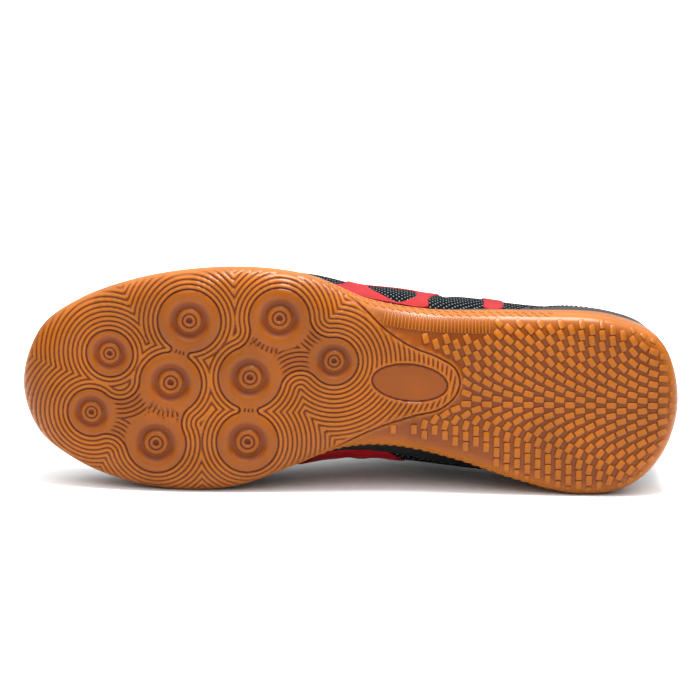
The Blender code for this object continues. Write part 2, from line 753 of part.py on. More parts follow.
def top_edge():
    """How far up each section of the upper ends: at the collar, the throat or the ridge."""
    along = np.abs(AROUND)
    collar = height_scale(along) * column(UPPER_ROWS, "collar", along)
    at_collar = np.where(along < HEEL_FAN, 1.0, up_at_height(AROUND, collar))
    at_throat = up_at_distance(AROUND, throat_half_width(along))
    edge = np.where(along < THROAT_TOP - 1e-9, at_collar, at_throat)
    return np.where(along > VAMP_POINT - 1e-9, 1.0, edge)


def wall_thickness(around, share):
    """Thickness of the upper's wall: padded inside the collar, thin elsewhere."""
    along = np.abs(around)
    collar = np.clip((0.345 - along) / 0.08, 0, 1)
    pad = np.interp(share, [0, 0.45, 0.7, 0.93, 1.0], [0, 0, 1, 0.9, 0.35])
    return UPPER_WALL + COLLAR_PAD * collar * pad


def upper(material):
    """The hollow upper, open at the collar and throat, and underneath at the cup."""
    shares = np.array([0, 0.16, 0.32, 0.47, 0.6, 0.72, 0.84, 0.93, 1.0])
    around, share = np.meshgrid(AROUND, shares)
    up = share * top_edge()[None]
    outer = upper_surface(around, up)
    thickness = wall_thickness(around, share)
    inner = outer - upper_normal(around, up) * thickness[..., None]
    along = np.abs(AROUND)
    raised = (0, 0, CLEARANCE)
    inside = UPPER_RING.inset(UPPER_WALL)
    outer_foot = at_ring(UPPER_RING, AROUND, floor_height) + raised
    inner_foot = at_ring(inside, AROUND, floor_height) + raised
    inner[0] = at_ring(inside, AROUND, rim_height) + raised
    outer = np.vstack([outer_foot[None], outer])
    inner = np.vstack([inner_foot[None], inner])
    rows, columns = outer.shape[:2]
    size = rows * columns
    faces = grid_faces(rows, columns, closed=True)
    faces += grid_faces(rows, columns, size, closed=True)
    closed = along >= VAMP_POINT - 1e-9
    for a in range(columns):
        b = (a + 1) % columns
        faces.append((a, b, b + size, a + size))
        if not (closed[a] and closed[b]):
            top = size - columns
            faces.append((top + a, top + b, top + b + size, top + a + size))
    points = np.vstack([outer.reshape(-1, 3), inner.reshape(-1, 3)])
    return mesh_object("upper", points, faces, material)


def stations_between(start, end):
    """The upper's own sections from start to end, so that a cover's facets match."""
    apart = 0.004
    inside = np.sort(AROUND[(AROUND > start + apart) & (AROUND < end - apart)])
    return np.concatenate([[start], inside, [end]])


def overlay(name, around, low, high, rows, material):
    """A sheet that lies on the upper between two heights of each of its sections."""
    share = np.linspace(0, 1, rows)[:, None]
    up = low[None] * (1 - share) + high[None] * share
    around = np.broadcast_to(around, up.shape)
    face, normal = upper_surface(around, up), upper_normal(around, up)
    inner = face + normal * OVERLAY_GAP
    outer = inner + normal * OVERLAY_THICKNESS
    return mesh_object(name, *shell(outer, inner), material)


def throat_edge(around):
    """How far up each section the eyestay's upper edge runs, just outside the throat."""
    away = throat_half_width(np.abs(around)) + EYESTAY_SETBACK
    return up_at_distance(around, away)


def eyestay(name, side, material):
    """The facing along one side of the throat, which carries the eyelets."""
    along = stations_between(EYESTAY_TOP, EYESTAY_END)
    around = side * along
    high = throat_edge(around)
    corner = np.interp(along, [EYESTAY_TOP, EYESTAY_TOP + 0.03], [0.75, 1])
    low = up_below(around, high, EYESTAY_WIDTH * corner)
    return overlay(name, around, low, high, 4, material)


def toe_cap(material):
    """The smooth bumper round the toe, above the rim."""
    half = stations_between(TOE_CAP_END, 1.0)
    around = np.concatenate([half, -half[-2::-1]])
    along = np.abs(around)
    high = np.interp(along, [TOE_CAP_END, TOE_FAN, 1.0], [0.10, 0.44, 0.60])
    low = np.full(len(around), COVER_FOOT)
    return overlay("toe_cap", around, low, high, 6, material)


def heel_counter(material):
    """The stiff cover round the heel."""
    around = stations_between(-COUNTER_END, COUNTER_END)
    share = np.abs(around) / COUNTER_END
    high = np.interp(share, [0, 0.5, 1], [0.78, 0.62, 0.16])
    low = np.full(len(around), COVER_FOOT)
    return overlay("heel_counter", around, low, high, 7, material)


def quarter_band(name, side, start, end, height, material):
    """The glossy band low on the quarter, highest in its middle."""
    along = stations_between(start, end)
    share = np.sin(math.pi * (along - start) / (end - start)) ** 0.7
    low = np.full(len(along), 2 * COVER_FOOT)
    high = low + COVER_FOOT + height * share
    return overlay(name, side * along, low, high, 4, material)


def tongue(material):
    """The padded tongue under the throat, which stands up past the top eyelets."""
    along = np.concatenate([[0.715, 0.695], np.linspace(0.66, 0.375, 9)])
    shares = np.array([-1, -0.85, -0.6, -0.3, 0, 0.3, 0.6, 0.85, 1])
    half = TONGUE_HALF_WIDTH * np.interp(along, [0.375, 0.6, 0.715], [1, 0.9, 0.62])
    faces, normals = [], []
    for a, width in zip(along, half):
        side = np.where(shares < 0, -a, a)
        up = up_at_distance(side, np.abs(shares) * width)
        up = np.where(shares == 0, 1.0, up)
        normal = upper_normal(side, up)
        faces.append(upper_surface(side, up) - normal * (UPPER_WALL + TONGUE_GAP))
        normals.append(normal)
    run = faces[-1] - faces[-2]
    run = run / np.linalg.norm(run, axis=1)[:, None]
    middle = run[len(shares) // 2]
    run = middle + (run - middle) * TONGUE_FLARE
    run = run / np.linalg.norm(run, axis=1)[:, None]
    rounding = np.sqrt(1 - 0.6 * np.abs(shares) ** 3)[:, None]
    narrowing = np.column_stack([0 * shares, -shares * TONGUE_HALF_WIDTH, 0 * shares])
    for step in (0.4, 0.75, 1.0):
        rise = run * TONGUE_RISE * step * (1 - step * (1 - rounding))
        faces.append(faces[len(along) - 1] + rise + narrowing * 0.12 * step**2)
        normals.append(normals[-1])
    outer, normal = np.array(faces), np.array(normals)
    thin = np.interp(np.abs(shares), [0, 0.6, 1], [1, 0.9, 0.4])
    inner = outer - normal * (TONGUE_THICKNESS * thin)[None, :, None]
    return mesh_object("tongue", *shell(outer, inner), material)


def eyelet_place(side, row):
    """Where an eyelet sits on the upper's sections, from the top row down."""
    along = TOP_EYELET + (LOW_EYELET - TOP_EYELET) * row / (EYELET_ROWS - 1)
    around = np.array([side * along])
    return around, up_below(around, throat_edge(around), EYESTAY_WIDTH * 0.45)


def eyelet_frame(side, row):
    """Centre and normal of an eyelet's seat on the eyestay."""
    place = eyelet_place(side, row)
    normal = upper_normal(*place)[0]
    lift = OVERLAY_GAP + OVERLAY_THICKNESS + CLEARANCE
    return upper_surface(*place)[0] + normal * lift, normal


def eyelet(name, centre, normal, material):
    """A flat ring round one lace hole."""
    steps = 8
    turn = Vector(normal).to_track_quat("Z", "Y").to_matrix()
    angle = np.linspace(0, 2 * math.pi, steps, endpoint=False)
    rings = []
    for radius, height in (
        (EYELET_HOLE_RADIUS, 0),
        (EYELET_RADIUS, 0),
        (EYELET_RADIUS - 0.3 * MM, EYELET_THICKNESS),
        (EYELET_HOLE_RADIUS, EYELET_THICKNESS),
        (EYELET_HOLE_RADIUS, 0),
    ):
        flat = np.stack([np.cos(angle) * radius, np.sin(angle) * radius], axis=1)
        ring = np.column_stack([flat, np.full(steps, height)])
        rings.append(ring @ np.array(turn).T + centre)
    faces = grid_faces(len(rings), steps, closed=True)
    return mesh_object(name, np.array(rings).reshape(-1, 3), faces, material)


def lace_run(name, start, end, step_over, material):
    """One flat run of lace from eyelet to eyelet, over the tongue.

    start and end are (share of the length, signed distance from the spine) pairs.
    The runs of one slant lie a step higher, so that they cross over the others.
    """
    share = np.linspace(0, 1, LACE_STEPS)
    along = start[0] + (end[0] - start[0]) * share
    away = start[1] + (end[1] - start[1]) * share
    around = np.where(away < 0, -along, along)
    up = up_at_distance(around, np.abs(away))
    up = np.where(np.abs(away) < 0.01 * MM, 1.0, up)
    normal = upper_normal(around, up)
    line = upper_surface(around, up) + normal * (LACE_LIFT + step_over)
    run = np.gradient(line, axis=0)
    across = np.cross(run, normal)
    across /= np.linalg.norm(across, axis=1)[:, None]
    wide, thick = across * LACE_WIDTH / 2, normal * LACE_THICKNESS
    outer = np.stack([line - wide + thick, line + wide + thick], axis=1)
    inner = np.stack([line - wide, line + wide], axis=1)
    return mesh_object(name, *shell(outer, inner), material)


def lace(material):
    """The lace's crossings over the tongue: one joined solid that ends at the top."""
    seats = {}
    for side in (-1, 1):
        for row in range(EYELET_ROWS):
            around, up = eyelet_place(side, row)
            seat = upper_surface(around, up)[0, :2] - spine_at(abs(around[0]))
            away = np.linalg.norm(seat) + LACE_OVERRUN
            seats[side, row] = (abs(around[0]), side * away)
    low = EYELET_ROWS - 1
    runs = [lace_run("lace", seats[-1, low], seats[1, low], LACE_STEP_OVER / 2, material)]
    for row in range(low):
        for side, step_over in ((-1, 0.0), (1, LACE_STEP_OVER)):
            start, end = seats[side, row], seats[-side, row + 1]
            name = f"lace_run_{row}_{side + 1}"
            runs.append(lace_run(name, start, end, step_over, material))
    for other in runs[1:]:
        other.hide_render = True
        join = runs[0].modifiers.new(other.name, "BOOLEAN")
        join.operation = "UNION"
        join.solver = "EXACT"
        join.object = other
    return runs


def finish(name, colour, roughness, metallic=0.0):
    """A plain material with the part's colour and gloss."""
    made = bpy.data.materials.new(name)
    made.use_nodes = True
    shader = made.node_tree.nodes["Principled BSDF"]
    shader.inputs["Base Color"].default_value = (*colour, 1)
    shader.inputs["Roughness"].default_value = roughness
    shader.inputs["Metallic"].default_value = metallic
    return made


def balance_point(objects):
    """Middle of the pieces' volumes, in the shoe's own frame."""
    total, weighted = 0.0, Vector()
    for piece in objects:
        if piece.hide_render:
            continue
        piece.data.calc_loop_triangles()
        corners = [v.co for v in piece.data.vertices]
        for triangle in piece.data.loop_triangles:
            a, b, c = (corners[i] for i in triangle.vertices)
            volume = a.dot(b.cross(c)) / 6
            total += volume
            weighted += volume * (a + b + c) / 4
    return weighted / total


def resting_turn(points, middle):
    """The turn that lays the shoe on its medial side, on the flat that carries it.

    Of the faces of the points' convex hull, the shoe rests on the one on its medial
    side that lies under its middle.
    """
    hull = bmesh.new()
    for p in points:
        hull.verts.new(p)
    made = bmesh.ops.convex_hull(hull, input=hull.verts)
    faces = [f for f in made["geom"] if isinstance(f, bmesh.types.BMFace)]
    best, score = None, -1.0
    for face in faces:
        face.normal_update()
        normal = face.normal.copy()
        corners = [v.co.copy() for v in face.verts]
        if normal.dot(corners[0] - middle) < 0:
            normal.negate()
        if normal.y > -0.8:
            continue
        foot = middle + normal * normal.dot(corners[0] - middle)
        inside = geometry.intersect_point_tri(foot, *corners[:3])
        if inside is not None and face.calc_area() > score:
            best, score = normal, face.calc_area()
    hull.free()
    toe_way = (Vector((1, 0, 0)) - best * best.x).normalized()
    return Matrix((-toe_way, best.cross(toe_way), -best))


def lay_down(objects):
    """Parents the pieces to one empty that lays them on their side, over the origin."""
    points = np.vstack([[tuple(v.co) for v in o.data.vertices] for o in objects])
    turn = resting_turn(points, balance_point(objects))
    laid = points @ np.array(turn).T
    low, high = laid.min(axis=0), laid.max(axis=0)
    shift = Vector((-(low[0] + high[0]) / 2, -(low[1] + high[1]) / 2, -low[2]))
    shoe = bpy.data.objects.new("shoe", None)
    bpy.context.scene.collection.objects.link(shoe)
    shoe.matrix_world = Matrix.Translation(shift) @ turn.to_4x4()
    for o in objects:
        o.parent = shoe


def main():
    for old in list(bpy.data.objects):
        bpy.data.objects.remove(old)
    rubber = finish("gum_rubber", (0.45, 0.19, 0.04), 0.45)
    knit = finish("black_mesh", (0.012, 0.014, 0.018), 0.7)
    film = finish("red_film", (0.75, 0.02, 0.03), 0.35)
    smooth_black = finish("black_synthetic", (0.01, 0.01, 0.011), 0.45)
    lining = finish("dark_lining", (0.02, 0.02, 0.022), 0.85)
    cord = finish("black_lace", (0.015, 0.015, 0.016), 0.75)
    pieces = [
        outsole(rubber),
        upper(knit),
        insole(lining),
        tongue(knit),
        eyestay("eyestay_medial", -1, smooth_black),
        eyestay("eyestay_lateral", 1, smooth_black),
        toe_cap(smooth_black),
        heel_counter(smooth_black),
        quarter_band("quarter_band_medial", -1, 0.40, 0.60, 0.30, film),
        quarter_band("quarter_band_lateral", 1, 0.27, 0.55, 0.24, film),
    ]
    for side, word in ((-1, "medial"), (1, "lateral")):
        for row in range(EYELET_ROWS):
            name = f"eyelet_{word}_{row + 1}"
            pieces.append(eyelet(name, *eyelet_frame(side, row), smooth_black))
    pieces += lace(cord)
    lay_down(pieces)


main()
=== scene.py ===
"""Left indoor soccer shoe lying on its side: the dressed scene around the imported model.

Shapes are worked out in the shoe's own frame, as in the part: x runs from the heel to the
toe, y from the medial to the lateral side and z up from the ground it would stand on.
"""

import json
import logging
import math
from dataclasses import dataclass, field
from enum import Enum
from typing import Callable, NamedTuple

import bpy
import numpy as np
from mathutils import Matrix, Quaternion, Vector, geometry


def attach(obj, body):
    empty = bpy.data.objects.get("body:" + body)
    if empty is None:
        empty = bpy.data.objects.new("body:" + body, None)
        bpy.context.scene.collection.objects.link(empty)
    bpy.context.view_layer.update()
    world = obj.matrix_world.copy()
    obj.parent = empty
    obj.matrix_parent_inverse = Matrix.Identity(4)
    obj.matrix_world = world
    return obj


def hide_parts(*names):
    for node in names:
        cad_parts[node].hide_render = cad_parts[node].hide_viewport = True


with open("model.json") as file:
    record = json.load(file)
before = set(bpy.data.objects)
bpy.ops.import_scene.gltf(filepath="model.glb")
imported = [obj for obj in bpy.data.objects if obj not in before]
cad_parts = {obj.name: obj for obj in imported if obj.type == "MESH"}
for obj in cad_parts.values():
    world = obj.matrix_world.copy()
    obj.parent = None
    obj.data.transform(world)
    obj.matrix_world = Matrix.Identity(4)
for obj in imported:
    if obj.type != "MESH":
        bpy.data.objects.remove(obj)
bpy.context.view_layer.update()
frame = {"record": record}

MM = 0.001
Array = np.ndarray
Tree = bpy.types.NodeTree
Socket = bpy.types.NodeSocket
Node = bpy.types.Node
LOG = logging.getLogger("shoe")


class Side(Enum):
    """The two sides of the foot, with the sign that a section's share carries."""

    MEDIAL = -1
    LATERAL = 1


class Spot(NamedTuple):
    """A place in plan, as shares of the sole's length and of the ball's width."""

    along: float
    across: float


class SoleRow(NamedTuple):
    """Rounded edge, floor and rim along the sole, as shares of their named sizes."""

    along: float
    edge_width: float
    edge_height: float
    stack: float
    rim: float


class UpperRow(NamedTuple):
    """One section of the upper: bulges, top, slope at the top and the collar's height."""

    along: float
    bulge_medial: float
    bulge_lateral: float
    bulge_height: float
    top_in: float
    top_height: float
    lean: float
    collar: float


class Pod(NamedTuple):
    """A round tread pod: its place in plan and its radius as a share of the big one."""

    along: float
    across: float
    radius: float


OUTLINE = [
    Spot(*row)
    for row in (
        (0.000, 0.430), (0.028, 0.690), (0.100, 0.793), (0.240, 0.813), (0.380, 0.816),
        (0.470, 0.860), (0.560, 0.965), (0.640, 1.000), (0.740, 0.990), (0.830, 0.937),
        (0.915, 0.837), (0.972, 0.705), (1.000, 0.455), (0.977, 0.245), (0.920, 0.118),
        (0.840, 0.033), (0.755, 0.000), (0.670, 0.020), (0.580, 0.117), (0.515, 0.193),
        (0.445, 0.206), (0.340, 0.148), (0.240, 0.058), (0.150, 0.000), (0.075, 0.038),
        (0.022, 0.185),
    )
]
SPINE = [
    Spot(*row)
    for row in (
        (0.130, 0.405), (0.400, 0.470), (0.650, 0.455), (0.860, 0.465),
    )
]
SOLE_ROWS = [
    SoleRow(*row)
    for row in (
        (0.00, 0.80, 0.90, 1.00, 1.04), (0.15, 0.80, 0.92, 1.00, 1.00),
        (0.30, 1.20, 1.15, 0.60, 0.70), (0.40, 1.50, 1.35, 0.40, 0.45),
        (0.50, 1.25, 1.15, 0.20, 0.20), (0.62, 1.00, 1.00, 0.05, 0.02),
        (0.72, 1.00, 1.00, 0.00, 0.00), (0.86, 1.05, 1.02, 0.00, 0.08),
        (1.00, 1.10, 1.05, 0.00, 0.20),
    )
]
UPPER_ROWS = [
    UpperRow(*row)
    for row in (
        (0.00, 0.010, 0.010, 0.47, 0.15, 0.885, 88, 0.885),
        (0.07, 0.010, -0.010, 0.46, 0.18, 0.850, 84, 0.850),
        (0.13, 0.010, -0.016, 0.44, 0.21, 0.775, 82, 0.775),
        (0.20, 0.018, 0.000, 0.42, 0.24, 0.715, 82, 0.715),
        (0.26, 0.068, 0.017, 0.40, 0.31, 0.745, 78, 0.722),
        (0.30, 0.104, 0.029, 0.395, 0.62, 0.930, 45, 0.790),
        (0.34, 0.124, 0.033, 0.39, 1.00, 1.110, 14, 0.890),
        (0.38, 0.138, 0.038, 0.39, 1.00, 1.070, 8, 0.985),
        (0.43, 0.148, 0.048, 0.39, 1.00, 1.000, 3, 1.000),
        (0.50, 0.140, 0.024, 0.37, 1.00, 0.850, 0, 1.000),
        (0.57, 0.090, -0.008, 0.35, 1.00, 0.728, 0, 1.000),
        (0.64, 0.028, -0.012, 0.32, 1.00, 0.640, 0, 1.000),
        (0.71, 0.010, -0.014, 0.30, 1.00, 0.575, 0, 1.000),
        (0.79, 0.004, -0.012, 0.29, 1.00, 0.515, 0, 1.000),
        (0.86, 0.000, -0.010, 0.30, 1.00, 0.471, 0, 1.000),
        (0.93, 0.000, -0.006, 0.33, 1.00, 0.471, 0, 1.000),
        (1.00, 0.000, 0.000, 0.36, 1.00, 0.471, 0, 1.000),
    )
]
PODS = [
    Pod(*row)
    for row in (
        (0.864, 0.615, 0.76), (0.892, 0.347, 0.78), (0.743, 0.770, 1.02),
        (0.771, 0.492, 1.00), (0.793, 0.220, 0.97), (0.607, 0.786, 0.98),
        (0.651, 0.520, 1.02), (0.654, 0.231, 1.00), (0.524, 0.598, 0.78),
    )
]
OVAL_CENTRE = Spot(0.409, 0.503)
PLATE_EDGE = [
    Spot(*row)
    for row in (
        (0.552, 1.010), (0.524, 0.940), (0.500, 0.880), (0.476, 0.819), (0.447, 0.739),
        (0.405, 0.661), (0.364, 0.615), (0.340, 0.568), (0.333, 0.506), (0.340, 0.446),
        (0.359, 0.393), (0.405, 0.352), (0.460, 0.295), (0.513, 0.215), (0.552, 0.140),
        (0.590, 0.050),
    )
]


def smooth(knots: Array, values: Array, at: Array) -> Array:
    """Reads a table between its rows, along a cubic that passes through each row.

    Args:
        knots: where the rows stand, rising.
        values: the rows' values, one or more columns.
        at: the places to read.

    Returns:
        The values at those places.
    """
    knots, values, at = (np.asarray(a, float) for a in (knots, values, at))
    gap = np.diff(knots)
    rise = (np.diff(values, axis=0).T / gap).T
    slope = np.empty_like(values)
    slope[0], slope[-1] = rise[0], rise[-1]
    share = (gap[:-1] / (gap[:-1] + gap[1:])).reshape((-1,) + (1,) * (values.ndim - 1))
    slope[1:-1] = rise[:-1] * (1 - share) + rise[1:] * share
    i = np.clip(np.searchsorted(knots, at, side="right") - 1, 0, len(gap) - 1)
    t = np.clip((at - knots[i]) / gap[i], 0, 1)
    g = gap[i]
    if values.ndim > 1:
        t, g = t[..., None], g[..., None]
    start, end = values[i], values[i + 1]
    return (
        start * (1 + 2 * t) * (1 - t) ** 2
        + end * t * t * (3 - 2 * t)
        + slope[i] * g * t * (1 - t) ** 2
        - slope[i + 1] * g * t * t * (1 - t)
    )


def column(rows: list, name: str, along: Array) -> Array:
    """One named column of a table, read at each share of the length."""
    return smooth([row.along for row in rows], [getattr(row, name) for row in rows], along)


def fade(value: Array, start: float, end: float) -> Array:
    """Rises from 0 at start to 1 at end, and stays level outside them."""
    return np.clip((value - start) / (end - start), 0, 1)


def walked(points: Array) -> Array:
    """Length walked along a line of points, from 0 at its first point."""
    return np.concatenate([[0], np.cumsum(np.linalg.norm(np.diff(points, axis=0), axis=1))])


def unit(vectors: Array) -> Array:
    """Vectors brought to length 1."""
    return vectors / np.linalg.norm(vectors, axis=-1, keepdims=True)


def read_along(at: Array, run: Array, line: Array) -> Array:
    """Points of a line at lengths walked along it, from the lengths at its own points."""
    return np.stack([np.interp(at, run, values) for values in line.T], axis=1)


def turns(count: int) -> Array:
    """Angles of so many even steps round a full circle."""
    return np.linspace(0, 2 * math.pi, count, endpoint=False)


def closed_curve(points: Array, steps: int) -> Array:
    """An even walk round a smooth closed curve through the points.

    Args:
        points: plan points in order.
        steps: how many points the walk has.

    Returns:
        The walk's points.
    """
    looped = np.vstack([points[-3:], points, points[:3]])
    reach = np.sqrt(np.linalg.norm(np.diff(looped, axis=0), axis=1))
    knots = np.concatenate([[0], np.cumsum(reach)])
    fine = smooth(knots, looped, np.linspace(knots[3], knots[-3], 8 * steps + 1))
    run = walked(fine)
    return read_along(np.linspace(0, run[-1], steps, endpoint=False), run, fine)


def open_curve(points: Array, steps: int) -> Array:
    """A smooth open curve of so many steps through the points."""
    knots = walked(points)
    return smooth(knots, points, np.linspace(0, knots[-1], steps))


def inward_normals(loop: Array) -> Array:
    """Unit normals of a closed plan line, pointing to its inside.

    Args:
        loop: the line's points in order.

    Returns:
        One normal for each point.
    """
    tangent = unit(np.roll(loop, -1, axis=0) - np.roll(loop, 1, axis=0))
    normal = np.stack([-tangent[:, 1], tangent[:, 0]], axis=1)
    x, y = loop.T
    area = np.sum(x * np.roll(y, -1) - np.roll(x, -1) * y)
    return normal if area > 0 else -normal


def distance_to(line: Array, points: Array, closed: bool) -> Array:
    """Shortest distance from each flat point to a line of short pieces.

    Args:
        line: the line's points in order.
        points: the flat points.
        closed: whether the line closes.

    Returns:
        The distances.
    """
    ends = np.roll(line, -1, axis=0) if closed else line[1:]
    starts = line if closed else line[:-1]
    run = ends - starts
    square = (run * run).sum(1)
    found = np.empty(len(points))
    for first in range(0, len(points), 4000):
        to = points[first : first + 4000, None, :] - starts[None]
        share = np.clip((to * run).sum(2) / square, 0, 1)
        away = np.linalg.norm(to - share[..., None] * run, axis=2)
        found[first : first + 4000] = away.min(axis=1)
    return found


def inside_loop(loop: Array, points: Array) -> Array:
    """Whether each flat point lies inside a closed line.

    Args:
        loop: the line's points in order.
        points: the flat points.

    Returns:
        True for each one inside.
    """
    x, y = points.T
    inside = np.zeros(len(points), bool)
    for a, b in zip(loop, np.roll(loop, -1, axis=0)):
        crosses = (a[1] > y) != (b[1] > y)
        rise = b[1] - a[1] if b[1] != a[1] else 1.0
        inside ^= crosses & (x < a[0] + (y - a[1]) / rise * (b[0] - a[0]))
    return inside


def joined_discs(points: Array, discs: Array, fillet: float) -> Array:
    """Signed distance to discs that are joined where they come close, by fillets.

    Args:
        points: plan points.
        discs: one row of centre x, centre y and radius for each disc.
        fillet: radius of the hollow corners between neighbouring discs.

    Returns:
        Distances, below 0 inside the joined shape.
    """
    centres, grown = discs[:, :2], discs[:, 2] + fillet
    away = points[:, None] - centres[None]
    far = np.maximum(np.linalg.norm(away, axis=2), 1e-9)
    foot = centres[None] + away * (grown[None] / far)[..., None]
    valid = np.ones(far.shape, bool)
    for k, centre in enumerate(centres):
        clear = np.linalg.norm(foot - centre, axis=2) >= grown[k] - 1e-9
        clear[:, k] = True
        valid &= clear
    reach = np.where(valid, np.abs(far - grown[None]), np.inf).min(axis=1)
    for i in range(len(discs)):
        for j in range(i + 1, len(discs)):
            run = centres[j] - centres[i]
            gap = np.linalg.norm(run)
            toward = (gap**2 + grown[i] ** 2 - grown[j] ** 2) / (2 * gap)
            if toward >= grown[i]:
                continue
            out = math.sqrt(grown[i] ** 2 - toward**2)
            for sign in (-1, 1):
                across = np.array([-run[1], run[0]]) * sign * out
                cusp = centres[i] + (run * toward + across) / gap
                if (np.linalg.norm(centres - cusp, axis=1) >= grown - 1e-9).all():
                    reach = np.minimum(reach, np.linalg.norm(points - cusp, axis=1))
    outside = (far - discs[:, 2]).min(axis=1)
    return np.where((far - grown[None]).min(axis=1) < 0, fillet - reach, outside)


def bezier(a: Array, b: Array, c: Array, d: Array, t: Array) -> Array:
    """A cubic through a and d, pulled towards b and c, read at t."""
    return a * (1 - t) ** 3 + 3 * b * (1 - t) ** 2 * t + 3 * c * (1 - t) * t * t + d * t**3


@dataclass(frozen=True)
class Placement:
    """Takes the shoe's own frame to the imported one, from the record's two mounts."""

    turn: Array
    shift: Array

    @classmethod
    def from_mounts(cls, mounts: list, heel: tuple, ball: tuple) -> "Placement":
        """Lines the two tread mounts up with their places in the shoe's own frame.

        Args:
            mounts: the record's mounts.
            heel: the heel mount's place on the tread, in the shoe's own frame.
            ball: the same for the mount under the ball of the foot.

        Returns:
            The placement.
        """
        found = {mount["name"]: mount for mount in mounts}
        start = np.array(found["heel_tread"]["pos_m"])
        up = unit(-np.array(found["heel_tread"]["axis"]))
        run = np.array(found["ball_tread"]["pos_m"]) - start
        run = unit(run - up * (run @ up))
        packed = np.stack([run, np.cross(up, run), up], axis=1)
        own_run = unit(np.array(ball) - np.array(heel))
        own_up = np.array((0.0, 0.0, 1.0))
        own = np.stack([own_run, np.cross(own_up, own_run), own_up], axis=1)
        turn = packed @ own.T
        return cls(turn, start - turn @ np.array(heel))

    def place(self, points: Array) -> Array:
        """Points of the shoe's own frame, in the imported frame."""
        return points @ self.turn.T + self.shift


HEEL_MOUNT = (45 * MM, 41 * MM, 0.0)
BALL_MOUNT = (178 * MM, 38 * MM, 0.0)
PLACE = Placement.from_mounts(frame["record"]["mounts"], HEEL_MOUNT, BALL_MOUNT)


def hex_colour(code: str) -> tuple:
    """A six-digit sRGB hex colour as linear red, green, blue and alpha.

    Args:
        code: the six digits.

    Returns:
        The linear colour.
    """
    parts = [int(code[i : i + 2], 16) / 255 for i in (0, 2, 4)]
    linear = [p / 12.92 if p <= 0.04045 else ((p + 0.055) / 1.055) ** 2.4 for p in parts]
    return (*linear, 1.0)


def add_node(tree: Tree, kind: str, values: dict, links: dict) -> Node:
    """Adds one node with its settings and links.

    Args:
        tree: the material's node tree.
        kind: the node's type, without the ShaderNode that all of them start with.
        values: property names, input names or input numbers, with their values.
        links: input names or numbers, with the sockets that feed them.

    Returns:
        The node.
    """
    node = tree.nodes.new("ShaderNode" + kind)
    for name, value in values.items():
        if isinstance(name, str) and hasattr(node, name):
            setattr(node, name, value)
        else:
            node.inputs[name].default_value = value
    for name, socket in links.items():
        tree.links.new(socket, node.inputs[name])
    return node


def ramp(tree: Tree, socket: Socket, stops: dict) -> Socket:
    """A colour ramp over a value, from stops that give a hex colour by position.

    Args:
        tree: the material's node tree.
        socket: the value's socket.
        stops: hex colours by their place from 0 to 1.

    Returns:
        The colour's socket.
    """
    node = add_node(tree, "ValToRGB", {}, {"Fac": socket})
    elements = node.color_ramp.elements
    while len(elements) < len(stops):
        elements.new(0.5)
    for element, (position, code) in zip(elements, sorted(stops.items())):
        element.position = position
        element.color = hex_colour(code)
    return node.outputs["Color"]


@dataclass(frozen=True)
class Finish:
    """A material: constants on its shader, and a dress method for its pattern."""

    name: str
    slot: str
    colour: str
    roughness: float
    ior: float = 1.5
    coat: float = 0.0
    coat_roughness: float = 0.2
    specular: float = 0.5

    def build(self) -> bpy.types.Material:
        """Makes the material, with its constants set on the shader itself.

        Returns:
            The material.
        """
        made = bpy.data.materials.new(self.name)
        made.use_nodes = True
        shader = made.node_tree.nodes["Principled BSDF"]
        for socket, value in (
            ("Base Color", hex_colour(self.colour)),
            ("Roughness", self.roughness),
            ("IOR", self.ior),
            ("Coat Weight", self.coat),
            ("Coat Roughness", self.coat_roughness),
            ("Specular IOR Level", self.specular),
        ):
            shader.inputs[socket].default_value = value
        self.dress(made.node_tree, shader)
        return made

    def dress(self, tree: Tree, shader: Node) -> None:
        """Adds the pattern; the plain finish has fine grain alone."""
        self.grain(tree, shader, 0.7 * MM, 0.25)

    def weave_map(self, tree: Tree) -> Socket:
        """The flat place that a woven piece carries at each corner, in metres."""
        return add_node(tree, "UVMap", {"uv_map": "weave"}, {}).outputs["UV"]

    def noise(self, tree: Tree, size: float, detail: float) -> Socket:
        """Noise with spots of a size in metres, fixed to the object.

        Args:
            tree: the material's node tree.
            size: the spots' width in metres.
            detail: how many finer layers it has.

        Returns:
            The noise's socket.
        """
        place = add_node(tree, "TexCoord", {}, {}).outputs["Object"]
        values = {"Scale": 1 / size, "Detail": detail}
        return add_node(tree, "TexNoise", values, {"Vector": place}).outputs["Fac"]

    def grain(self, tree: Tree, shader: Node, size: float, strength: float) -> None:
        """Bumps the surface with a fine even grain.

        Args:
            tree: the material's node tree.
            shader: its shader.
            size: the grain's width in metres.
            strength: how strongly it shows.
        """
        values = {"Strength": strength, "Distance": 0.1 * MM}
        bump = add_node(tree, "Bump", values, {"Height": self.noise(tree, size, 2.0)})
        tree.links.new(bump.outputs["Normal"], shader.inputs["Normal"])

    def varied(self, tree: Tree, shader: Node, size: float, spread: float) -> None:
        """Lets the roughness drift by a spread over spots of a size.

        Args:
            tree: the material's node tree.
            shader: its shader.
            size: the spots' width in metres.
            spread: how far it drifts.
        """
        values = {"To Min": self.roughness - spread, "To Max": self.roughness + spread}
        links = {"Value": self.noise(tree, size, 3.0)}
        drift = add_node(tree, "MapRange", values, links)
        tree.links.new(drift.outputs["Result"], shader.inputs["Roughness"])


